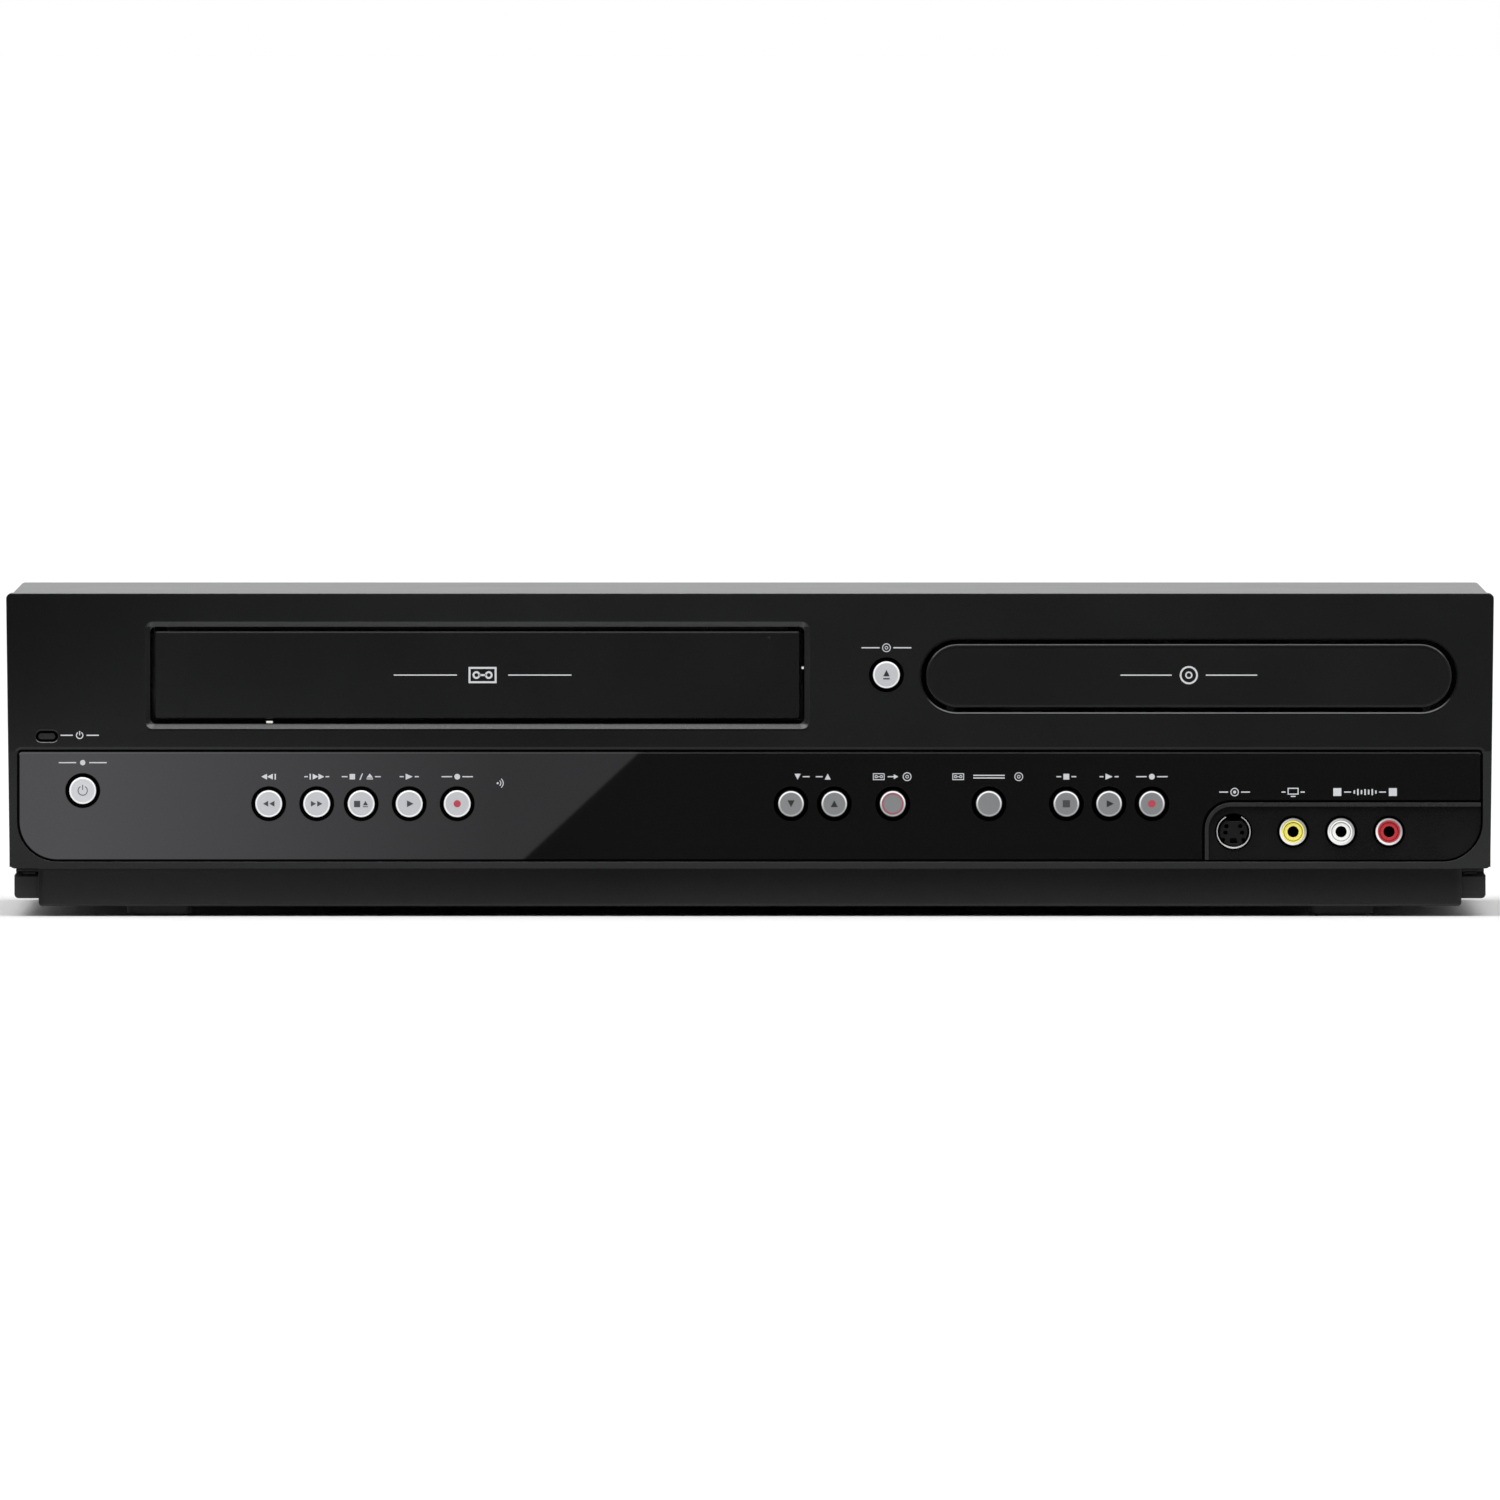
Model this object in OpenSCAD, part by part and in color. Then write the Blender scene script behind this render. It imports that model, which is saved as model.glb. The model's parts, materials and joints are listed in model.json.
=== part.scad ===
// Disc recorder and cassette recorder in one cabinet, front towards -Y, feet on Z = 0.

/* [Cabinet] */
// Width of the front face at its top edge
face_w = 435; // [400:1:470]
// Height of the top edge above the floor
face_top = 94.45; // [90:0.05:110]
// Depth from the button caps to the rear sockets
total_d = 330; // [300:1:380]
// Height of the front face's lower edge
face_bottom = 14.04; // [12:0.02:16]
// How much each side of the face leans in over its height
face_taper = 1; // [0:0.1:3]
// Corner radius of the face outline
face_corner_r = 1.5; // [1:0.1:3]
// Depth of the front moulding's side and top walls
bezel_d = 24; // [16:1:40]
// Thickness of the front moulding's face
front_t = 3; // [2.6:0.1:4]
// Thickness of the front moulding's side, top and bottom walls
bezel_wall = 2.3; // [1.6:0.1:3]
// How far the skirt under the face is set back
skirt_set_back = 7; // [4:0.5:12]
// Distance from the face's side to the end of the skirt
skirt_side = 9.4; // [6:0.1:25]
// Height of the skirt's lower edge
skirt_bottom = 2.95; // [2:0.05:4.5]
// Thickness of the skirt
skirt_t = 2.5; // [2:0.1:4]

/* [Cover] */
// Thickness of the steel cover
cover_t = 0.8; // [0.6:0.1:1.5]
// Step from the front moulding's outline down to the cover
cover_step = 0.2; // [0.2:0.05:1.5]
// Distance of the cover's sides in from the face's widest place
cover_side = 0.7; // [0.4:0.1:1.5]
// Bend radius of the cover's upper edges
cover_bend_r = 1.6; // [1.2:0.1:4]
// Width of one ventilation slot
vent_w = 2.4; // [1.5:0.1:4]
// Height of one ventilation slot
vent_h = 22; // [12:1:40]
// Distance from one ventilation slot to the next
vent_pitch = 7; // [5:0.5:12]
// Number of ventilation slots in a side
vent_count = 14; // [4:1:20]

/* [Chassis] */
// Height of the underside of the floor pan
pan_bottom = 5.2; // [4.6:0.1:8]
// Thickness of the floor pan
pan_t = 2; // [1.5:0.1:4]
// Top of the side rails
rail_top = 12.14; // [10:0.02:13]
// How far the side rails stand out past the flanges
rail_lip = 0.5; // [0.4:0.1:1.2]
// Width of a side rail
rail_w = 7.2; // [4:0.1:10]
// Height of the side flanges that the cover is screwed to
flange_top = 26; // [20:1:40]
// Thickness of the rear panel
rear_t = 1; // [0.8:0.1:2]
// Distance from the rear panel to the outer ends of its sockets
socket_reach = 9; // [6:0.5:14]

/* [Feet] */
// Width of a foot
foot_w = 18.7; // [12:0.1:30]
// Depth of a foot
foot_d = 22; // [12:1:40]
// Distance from the face's side to a foot's centre
foot_side = 44.65; // [30:0.05:90]
// Thickness of the rubber pad under a foot
pad_t = 0.73; // [0.5:0.01:2]
// How far the pad is set in from the foot's edge
pad_inset = 1.8; // [0.5:0.1:4]
// Distance from the front moulding's skirt to the front feet
front_foot_gap = 1.5; // [0:0.5:20]
// Distance from the rear panel to the rear feet
rear_foot_gap = 20; // [5:1:60]

/* [Cassette mouth] */
// Width of the cassette opening
mouth_w = 191.1; // [189:0.1:200]
// Height of the cassette opening
mouth_h = 28.22; // [27.6:0.01:32]
// Middle of the cassette opening across the face
mouth_x = -79.75; // [-90:0.05:-70]
// Height of the opening's lower edge
mouth_bottom = 56.44; // [55:0.01:58]
// Width of the bevel round the opening
mouth_bevel = 1.6; // [0.8:0.1:2.4]
// Gap round the cassette door
door_gap = 1.4; // [0.8:0.05:2]
// Thickness of the cassette door
door_t = 1.8; // [1.4:0.1:2.2]
// How far the door sits back from the face
door_set_back = 1.4; // [0.5:0.1:2]
// Radius of the door's hinge pins
door_pin_r = 1.1; // [0.8:0.05:1.3]
// Angle that the cassette door opens to
door_open_angle = 90; // [60:1:90]

/* [Disc drawer] */
// Length of the drawer's round-ended opening
slot_w = 156.6; // [150:0.1:165]
// Height of the drawer's round-ended opening
slot_h = 21.06; // [20:0.02:24]
// Distance from the face's side to the drawer's opening
slot_side = 10.9; // [8:0.1:16]
// Height of the drawer's middle
slot_z = 70.35; // [68:0.05:74]
// Gap round the drawer's front
slot_gap = 1.2; // [0.6:0.05:2]
// Thickness of the drawer's front
tray_front_t = 4; // [3:0.1:6]
// Travel of the drawer
tray_travel = 138; // [120:1:150]
// Width of the disc tray
tray_w = 132; // [128:1:140]
// Depth of the disc tray
tray_d = 158; // [150:1:165]
// Thickness of the disc tray's floor
tray_floor_t = 1.6; // [1.2:0.1:3]
// Diameter of a disc
disc_dia = 120; // [80:1:120]
// Pitch radius of the drawer's drive gear
gear_pitch_r = 7; // [6:0.5:8]
// Number of teeth on the drawer's drive gear
gear_teeth = 14; // [12:1:16]

/* [Control panel] */
// Distance from the face's side to the glossy control panel
panel_side = 3.6; // [3:0.1:8]
// Height of the panel's lower edge
panel_bottom = 16.4; // [16:0.1:18]
// Height of the panel's upper edge
panel_top = 48.19; // [46:0.01:50]
// Thickness of the panel
panel_t = 1.6; // [1:0.1:2]
// Gap round the panel
panel_gap = 0.4; // [0.2:0.05:0.6]
// Radius of the panel's lower corners
panel_low_r = 11.4; // [4:0.1:14]
// Radius of the panel's upper corners
panel_high_r = 1; // [0.5:0.1:4]

/* [Jack bay] */
// Width of the jack bay
bay_w = 81.1; // [76:0.1:88]
// Upper edge of the jack bay
bay_top = 33.5; // [32:0.1:36]
// Radius of the bay's upper left corner
bay_r = 7.9; // [4:0.1:10]
// Width of the rim round the bay
bay_rim = 1.3; // [0.8:0.1:2]
// Depth of the bay behind its rim
bay_depth = 1.2; // [0.6:0.1:1.4]
// Distance from the bay's left edge to the round video socket
svideo_in = 8.6; // [7.6:0.1:11]
// Height of the front sockets' centres
jack_z = 24.8; // [23:0.1:27]
// Distance between the phono sockets
phono_pitch = 14.03; // [12.5:0.01:15]
// Distance from the round video socket to the first phono socket
phono_in = 17.4; // [15:0.1:19]
// Outer radius of a phono socket
phono_r = 4.15; // [4.1:0.05:4.2]
// Outer radius of the round video socket
svideo_r = 4.97; // [4.5:0.01:5.2]

/* [Buttons] */
// Radius of a button cap
button_r = 4.1; // [3.2:0.05:4.3]
// Gap between a cap and the rim of its well
button_gap = 1; // [0.5:0.05:1.2]
// How far the caps stand out of the face
button_proud = 1; // [0.4:0.1:2]
// Travel of a button
button_travel = 0.8; // [0.5:0.1:1]
// Height of the row of control buttons
button_row_z = 33; // [31:0.1:35]
// Distance from the face's side to the standby button
standby_side = 22.4; // [12:0.1:30]
// Height of the standby button
standby_z = 36.84; // [34:0.01:38]
// Distance from the drawer button to the drawer's opening
drawer_button_gap = 10.1; // [8:0.1:14]
// Distance from one tape button to the next
tape_pitch = 14.04; // [12:0.01:16]
// Spacing between the forward and the stop button
tape_middle_pitch = 13; // [12:0.1:16]
// Distance from one disc button to the next
disc_pitch = 12.5; // [11:0.1:14]
// Distance from the last disc button to the drawer's middle
disc_buttons_side = 10.8; // [8:0.1:20]

/* [Hidden] */
$fn = 48;
FIXED_NODES = [
  "front_bezel", "control_panel", "jack_bay", "power_lens", "top_cover", "bottom_chassis", "rear_panel",
  "front_feet", "rear_feet", "foot_pads", "cassette_door", "door_spring", "disc_tray", "tray_front",
  "display_module", "ir_receiver", "front_boards", "tact_switches", "svideo_shell", "svideo_insert",
  "phono_shells", "phono_insert_yellow", "phono_insert_white", "phono_insert_red",
  "deck_chassis", "cassette_holder", "drum_base", "head_drum", "capstan_flywheel", "pinch_roller",
  "supply_reel", "takeup_reel", "deck_motor", "loader_frame", "tray_gear", "spindle_turntable",
  "optical_pickup", "traverse_unit", "clamp_bridge", "clamp_puck", "main_board", "power_board",
  "transformer", "rear_sockets", "mains_gland", "cover_screws"
];
// Places across the face that follow from its width
skirt_half_w = face_w / 2 - skirt_side;
panel_half_w = face_w / 2 - panel_side;
foot_x = face_w / 2 - foot_side;
slot_x = face_w / 2 - slot_side - slot_w / 2;
slot_x0 = slot_x - slot_w / 2;
bay_left = panel_half_w - bay_w;
svideo_x = bay_left + svideo_in;
phono_x = svideo_x + phono_in;
drawer_button_x = slot_x0 - drawer_button_gap;
tape_record_x = mouth_x - 5.85;
disc_stop_x = slot_x - disc_buttons_side - 2 * disc_pitch;
// The four middle buttons share out the way from the tape buttons to the disc buttons
function between(share) = tape_record_x + share * (disc_stop_x - tape_record_x);
tracking_x = between(0.548);
// Each button: name, place across the face and height
BUTTONS = [
  ["standby_button", standby_side - face_w / 2, standby_z],
  ["tape_rewind_button", tape_record_x - 3 * tape_pitch - tape_middle_pitch, button_row_z],
  ["tape_forward_button", tape_record_x - 2 * tape_pitch - tape_middle_pitch, button_row_z],
  ["tape_stop_button", tape_record_x - 2 * tape_pitch, button_row_z],
  ["tape_play_button", tape_record_x - tape_pitch, button_row_z],
  ["tape_record_button", tape_record_x, button_row_z],
  ["tracking_down_button", tracking_x, button_row_z],
  ["tracking_up_button", between(0.619), button_row_z],
  ["dubbing_button", between(0.715), button_row_z],
  ["source_button", between(0.873), button_row_z],
  ["disc_stop_button", disc_stop_x, button_row_z],
  ["disc_play_button", disc_stop_x + disc_pitch, button_row_z],
  ["disc_record_button", disc_stop_x + 2 * disc_pitch, button_row_z],
  ["drawer_button", drawer_button_x, slot_z + 0.35]
];

eps = 0.01;
seat = 0.3;
run_fit = 0.05;
face_y = -total_d / 2 + button_proud;
panel_back_y = face_y + panel_t;
front_back_y = face_y + front_t;
bezel_back_y = face_y + bezel_d;
skirt_y = face_y + skirt_set_back;
skirt_back_y = skirt_y + skirt_t;
rear_y = total_d / 2 - socket_reach;
rear_in_y = rear_y - rear_t;
cover_half_w = face_w / 2 - cover_side;
cover_top = face_top - cover_step;
cover_bottom = face_bottom + 0.1;
cover_y = bezel_back_y + seat;
pan_top = pan_bottom + pan_t;
dimple_d = 1.1;
flange_half_w = cover_half_w - cover_t - dimple_d - 0.2;
rail_half_w = flange_half_w + rail_lip;
flange_t = 2;

// ---- helpers ----
// A flat outline drawn in X and Z, given thickness from y0 to y1
module slab(y0, y1) {
  translate([0, y1, 0]) rotate([90, 0, 0]) linear_extrude(y1 - y0) children();
}

// A round bar along Y
module rod_y(r, x, z, y0, y1) {
  translate([x, y1, z]) rotate([90, 0, 0]) cylinder(r = r, h = y1 - y0);
}

// A round bar along X
module rod_x(r, y, z, x0, x1) {
  translate([x0, y, z]) rotate([0, 90, 0]) cylinder(r = r, h = x1 - x0);
}

// A block between two corners
module block(x0, x1, y0, y1, z0, z1) {
  translate([x0, y0, z0]) cube([x1 - x0, y1 - y0, z1 - z0]);
}

// A flat rectangle between two corners, with one radius at the top and one at the bottom
module soft_rect(x0, x1, z0, z1, r_top, r_low) {
  translate([x0, z0 + r_low]) square([x1 - x0, z1 - r_top - z0 - r_low]);
  translate([x0 + r_low, z0]) square([x1 - x0 - 2 * r_low, r_low + eps]);
  translate([x0 + r_top, z1 - r_top - eps]) square([x1 - x0 - 2 * r_top, r_top + eps]);
  for (x = [x0 + r_low, x1 - r_low]) translate([x, z0 + r_low]) circle(r_low);
  for (x = [x0 + r_top, x1 - r_top]) translate([x, z1 - r_top]) circle(r_top);
}

// A flat outline with two straight sides and two round ends
module stadium(x, z, w, h) {
  translate([x - w / 2 + h / 2, z - h / 2]) square([w - h, h]);
  for (side = [-1, 1]) translate([x + side * (w - h) / 2, z]) circle(h / 2);
}

// Cuts a chamfer c deep along the front edge, at y, of a round-ended opening
module stadium_chamfer(x, z, w, h, y, c) {
  for (side = [-1, 1]) translate([x + side * (w - h) / 2, y - eps, z]) rotate([-90, 0, 0])
    cylinder(r1 = h / 2 + c, r2 = h / 2 - eps, h = c + 2 * eps);
  translate([x - (w - h) / 2, 0, z]) rotate([90, 0, 90]) linear_extrude(w - h)
    polygon([[y - eps, h / 2 + c], [y + c + eps, h / 2 - eps], [y + c + eps, eps - h / 2], [y - eps, -h / 2 - c]]);
}

// ---- front outlines ----
module face_outline(inset = 0) {
  top_half = face_w / 2 - inset;
  low_half = face_w / 2 - face_taper - inset;
  z_low = face_bottom + inset;
  z_high = face_top - inset;
  r = face_corner_r;
  hull() {
    for (side = [-1, 1]) {
      translate([side * (top_half - r), z_high - r]) circle(r, $fn = 32);
      translate([side * (low_half - r), z_low + r]) circle(r, $fn = 32);
    }
  }
}

module panel_outline(grow = 0) {
  soft_rect(-panel_half_w - grow, panel_half_w + grow, panel_bottom - grow, panel_top + grow,
            max(panel_high_r + grow, 0.2), panel_low_r + grow);
}

// The jack bay fills the panel's lower right corner; inset makes it smaller all round
module bay_outline(inset = 0) {
  reach = 60;
  intersection() {
    panel_outline(-inset);
    soft_rect(bay_left + inset, panel_half_w + reach, panel_bottom - reach, bay_top - inset,
              bay_r - inset, bay_r);
  }
}

// The bay has a rim at its top and left only; elsewhere it runs out to the cabinet's face
module bay_hollow() {
  reach = 60;
  intersection() {
    panel_outline(panel_gap);
    soft_rect(bay_left + bay_rim, panel_half_w + reach, panel_bottom - reach, bay_top - bay_rim,
              bay_r - bay_rim, bay_r);
  }
}

mouth_x0 = mouth_x - mouth_w / 2;
mouth_x1 = mouth_x + mouth_w / 2;
mouth_top = mouth_bottom + mouth_h;
mouth_r = 1.5;
mouth_frame_depth = 1.6;
module mouth_outline(grow = 0) {
  soft_rect(mouth_x0 - grow, mouth_x1 + grow, mouth_bottom - grow, mouth_top + grow,
            mouth_r + grow / 2, mouth_r + grow / 2);
}

lens_x = 11.9 - face_w / 2;
lens_z = 52.7;
lens_w = 6.3;
lens_h = 3.1;
lens_gap = 0.6;
window_chamfer = 0.35;
slot_chamfer = 0.6;

// ---- the cassette door's hinge ----
door_front_y = face_y + door_set_back;
door_back_y = door_front_y + door_t;
hinge_y = front_back_y + seat + door_pin_r + 0.8;
hinge_z = mouth_top + 1.4;
door_x0 = mouth_x0 + door_gap;
door_x1 = mouth_x1 - door_gap;
door_z0 = mouth_bottom + door_gap;
door_z1 = mouth_top - door_gap + 0.1;
door_arm_t = 3.4;
door_lug_r = door_pin_r + 0.8;
ear_gap = 0.5;
ear_t = 2.6;
// Inner faces of the two ears that hold the door's pins
ear_left = door_x0 - ear_gap;
ear_right = door_x1 + ear_gap;

// ---- the front moulding ----
guide_t = 0.8;
skirt_corner_r = 1.2;
skirt_end_w = 1.2;
skirt_chamfer = 0.5;
sill_d = 8;
sill_h = 0.8;
// Skirt under the overhanging face, with a chamfer along its lower edge and at its two ends
module skirt() {
  difference() {
    slab(skirt_y, skirt_back_y)
      soft_rect(-skirt_half_w, skirt_half_w, skirt_bottom, face_bottom + 1, 0.2, skirt_corner_r);
    translate([-face_w / 2, 0, 0]) rotate([90, 0, 90]) linear_extrude(face_w)
      polygon([[skirt_y - 1, skirt_bottom + skirt_chamfer + 1], [skirt_y - 1, skirt_bottom - 1],
               [skirt_y + skirt_chamfer + 1, skirt_bottom - 1]]);
    for (side = [-1, 1]) translate([0, 0, skirt_bottom - 1]) linear_extrude(face_bottom - skirt_bottom + 1)
      polygon([[side * (skirt_half_w - skirt_end_w), skirt_y - eps], [side * (skirt_half_w + 1), skirt_y - eps],
               [side * (skirt_half_w + 1), skirt_y + skirt_chamfer], [side * skirt_half_w, skirt_y + skirt_chamfer]]);
  }
}

module front_bezel() {
  boss_r = 3;
  color("#1b1c1e") difference() {
    union() {
      difference() {
        slab(face_y, bezel_back_y) face_outline();
        slab(front_back_y, bezel_back_y + 1) face_outline(bezel_wall);
      }
      skirt();
      // sill just under the cassette door, inside the mouth
      block(mouth_x0, mouth_x1, front_back_y - eps, front_back_y + sill_d, mouth_bottom - 2, mouth_bottom + sill_h);
      // vertical ribs on the back of the face
      for (x = [mouth_x0 - 10.7, mouth_x1 + 15.2, slot_x0 - 3, face_w / 2 - 5.5 - bezel_wall])
        block(x, x + 1.6, front_back_y - eps, bezel_back_y - 4, panel_top + 6, face_top - bezel_wall + eps);
      // ears for the cassette door's pins
      for (x = [ear_left - ear_t, ear_right])
        block(x, x + ear_t, front_back_y - eps, hinge_y + 3, hinge_z - 3.4, hinge_z + 3.4);
      // rim round the drawer's opening, on the back
      slab(front_back_y - eps, front_back_y + 3) stadium(slot_x, slot_z, slot_w + 3, slot_h + 3);
      // posts that carry the front circuit board
      for (x = post_xs) rod_y(boss_r, x, panel_top - 5, front_back_y - eps, board_y);
    }
    // cassette mouth with its bevelled frame
    slab(face_y - 1, front_back_y + 1) mouth_outline();
    hull() {
      slab(face_y - 0.2, face_y) mouth_outline(mouth_bevel);
      slab(face_y + mouth_frame_depth - 0.1, face_y + mouth_frame_depth) mouth_outline();
    }
    // round-ended drawer opening
    slab(face_y - 1, front_back_y + 4) stadium(slot_x, slot_z, slot_w, slot_h);
    stadium_chamfer(slot_x, slot_z, slot_w, slot_h, face_y, slot_chamfer);
    // recess for the control panel, and the window behind the jack bay
    slab(face_y - 1, panel_back_y) panel_outline(panel_gap);
    slab(face_y - 1, front_back_y + 1) bay_outline(2);
    // window of the display, and the eye of the remote receiver
    slab(face_y - 1, front_back_y + 1) soft_rect(display_x0, display_x1, display_z0, display_z1, 1, 1);
    rod_y(ir_r, ir_x, ir_z, face_y - 1, front_back_y + 1);
    // power window
    slab(face_y - 1, front_back_y + 1) stadium(lens_x, lens_z, lens_w, lens_h);
    stadium_chamfer(lens_x, lens_z, lens_w, lens_h, face_y, window_chamfer);
    // wells and guide bores of the buttons
    for (b = BUTTONS) {
      rod_y(button_r + button_gap, b[1], b[2], face_y - 1, front_back_y - guide_t);
      rod_y(button_r + guide_fit, b[1], b[2], face_y - 1, front_back_y + 1);
    }
    // bores for the door's pins
    rod_x(door_pin_r + run_fit, hinge_y, hinge_z, ear_left - ear_t - 1, ear_right + ear_t + 1);
    // pilot holes of the board's posts
    for (x = post_xs) rod_y(1.2, x, panel_top - 5, front_back_y + 1, board_y + 1);
  }
}

module control_panel() {
  color("#0c0c0e") difference() {
    slab(face_y, panel_back_y) panel_outline();
    slab(face_y - 1, panel_back_y + 1) bay_outline(-panel_gap / 2);
    for (b = BUTTONS)
      rod_y(button_r + button_gap, b[1], b[2], face_y - 1, panel_back_y + 1);
  }
}

module jack_bay() {
  color("#17181a") difference() {
    union() {
      slab(face_y, panel_back_y) bay_outline(panel_gap / 2);
      slab(panel_back_y - eps, front_back_y) bay_outline(2 + panel_gap);
    }
    slab(face_y - 1, face_y + bay_depth) bay_hollow();
    // holes that the sockets come through
    rod_y(svideo_r + seat, svideo_x, jack_z, face_y - 1, front_back_y + 1);
    for (i = [0:2]) rod_y(phono_r + seat, phono_x + i * phono_pitch, jack_z, face_y - 1, front_back_y + 1);
  }
}

module power_lens() {
  color("#26282b") {
    slab(face_y + 0.3, front_back_y + 0.6) stadium(lens_x, lens_z, lens_w - 2 * lens_gap, lens_h - 2 * lens_gap);
    slab(front_back_y + 0.5, front_back_y + 2) stadium(lens_x, lens_z, lens_w + 2, lens_h + 2);
  }
}

// ---- buttons ----
guide_fit = 0.1;
cap_round = 0.5;
flange_r = button_r + 0.8;
flange_y = front_back_y + seat;
flange_disc_t = 1;
post_r = 1.4;
plunger_gap = button_travel + 0.1;
board_y = front_back_y + 9;
board_t = 1.6;
switch_t = 3.5;
plunger_t = 1.2;
plunger_y = board_y - switch_t - plunger_t;

module button(x, z) {
  cap_y = face_y - button_proud;
  color("#c9cbce") translate([x, 0, z]) rotate([-90, 0, 0]) {
    rotate_extrude() polygon([
      [0, cap_y], [button_r - cap_round, cap_y], [button_r - cap_round * 0.3, cap_y + cap_round * 0.3],
      [button_r, cap_y + cap_round], [button_r, flange_y], [flange_r, flange_y],
      [flange_r, flange_y + flange_disc_t], [post_r, flange_y + flange_disc_t],
      [post_r, plunger_y - plunger_gap], [0, plunger_y - plunger_gap]
    ]);
  }
}

module tact_switches() {
  body_w = 6;
  color("#2a2a2a") for (b = BUTTONS) {
    block(b[1] - body_w / 2, b[1] + body_w / 2, board_y - switch_t, board_y, b[2] - body_w / 2, b[2] + body_w / 2);
    rod_y(1.7, b[1], b[2], plunger_y, board_y - switch_t + eps);
  }
}

// ---- boards and windows behind the front ----
display_x0 = tape_record_x + 35.6;
display_x1 = tracking_x - 12;
display_z0 = 24;
display_z1 = 42;
ir_x = tape_record_x + 13.6;
ir_z = 37;
post_xs = [12.5 - face_w / 2, tape_record_x + 23.6, slot_x0 + 8, face_w / 2 - 11.5];
board_reach = face_w / 2 - 8.5;
ir_r = 3;
module display_module() {
  color("#0f1413") {
    block(display_x0 + 0.5, display_x1 - 0.5, panel_back_y + 0.1, board_y, display_z0 + 0.5, display_z1 - 0.5);
  }
}

module ir_receiver() {
  color("#1a1216") {
    rod_y(ir_r - 0.4, ir_x, ir_z, panel_back_y + 0.4, board_y - 3 + eps);
    block(ir_x - 3.6, ir_x + 3.6, board_y - 4, board_y, ir_z - 4, ir_z + 4);
  }
}

module front_boards() {
  color("#2d5a35") difference() {
    union() {
      // long board behind the control panel
      block(-board_reach, bay_left - 4.8, board_y, board_y + board_t, 18.5, panel_top);
      // extension behind the right-hand end, above the sockets
      block(bay_left - 4.8 - eps, board_reach, board_y, board_y + board_t, 36.5, panel_top);
      // tongue up to the drawer button
      block(drawer_button_x - 6, drawer_button_x + 6, board_y, board_y + board_t, panel_top - eps, slot_z + 7);
      // socket board
      block(svideo_x - 7.4, phono_x + 2 * phono_pitch + 13.1, board_y + 3, board_y + 3 + board_t, 17.5, 34);
    }
    for (x = post_xs) rod_y(1.6, x, panel_top - 5, board_y - 1, board_y + board_t + 1);
  }
}

// ---- front sockets ----
jack_front_y = face_y - 0.2;
jack_body_y = front_back_y + seat;
svideo_wall = 0.45;
svideo_key_w = 4.4;
svideo_key_z = 3;
module svideo_shell() {
  color("#b9babd") difference() {
    union() {
      rod_y(svideo_r, svideo_x, jack_z, jack_front_y + 0.6, jack_body_y + eps);
      block(svideo_x - 6.4, svideo_x + 6.4, jack_body_y, board_y + 3, jack_z - 6, jack_z + 6.2);
    }
    rod_y(svideo_r - svideo_wall, svideo_x, jack_z, jack_front_y - 1, jack_body_y + 2);
    // the ring is open at the top, for the plug's key
    block(svideo_x - svideo_key_w / 2, svideo_x + svideo_key_w / 2, jack_front_y - 1, front_back_y,
          jack_z + svideo_key_z, jack_z + svideo_r + 1);
  }
}

// Round insert with four pin holes, a key slot and two side notches
module svideo_insert() {
  pin_r = 0.65;
  color("#141414") difference() {
    rod_y(svideo_r - svideo_wall - seat, svideo_x, jack_z, jack_front_y + 1.4, jack_body_y + 1.8);
    block(svideo_x - svideo_key_w / 2, svideo_x + svideo_key_w / 2, jack_front_y, jack_body_y,
          jack_z + svideo_key_z, jack_z + svideo_r);
    for (p = [[-2.1, 1.9], [2, 1.9], [-2.4, 0], [2.5, 0]])
      rod_y(pin_r, svideo_x + p[0], jack_z + p[1] - 0.3, jack_front_y, jack_body_y);
    block(svideo_x - 1.1, svideo_x + 1.1, jack_front_y, jack_body_y, jack_z - 3.4, jack_z - 2.6);
    for (x = [-3.2, 3])
      block(svideo_x + x - 0.4, svideo_x + x + 0.4, jack_front_y, jack_body_y, jack_z - 3.2, jack_z - 2);
  }
}

phono_wall = 1.35;
phono_bore_r = 1.65;
module phono_shells() {
  color("#c7c9cc") for (i = [0:2]) {
    x = phono_x + i * phono_pitch;
    difference() {
      union() {
        rod_y(phono_r, x, jack_z, jack_front_y, jack_body_y + eps);
        block(x - 5.2, x + 5.2, jack_body_y, board_y + 3, jack_z - 6, jack_z + 6);
      }
      rod_y(phono_r - phono_wall, x, jack_z, jack_front_y - 1, jack_body_y + 4);
    }
  }
}

module phono_insert(i, tint) {
  x = phono_x + i * phono_pitch;
  color(tint) difference() {
    union() {
      rod_y(phono_r - phono_wall - 0.15, x, jack_z, jack_front_y + 0.5, jack_body_y + 3.7);
    }
    rod_y(phono_bore_r, x, jack_z, jack_front_y - 1, jack_body_y + 3);
  }
}

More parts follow.
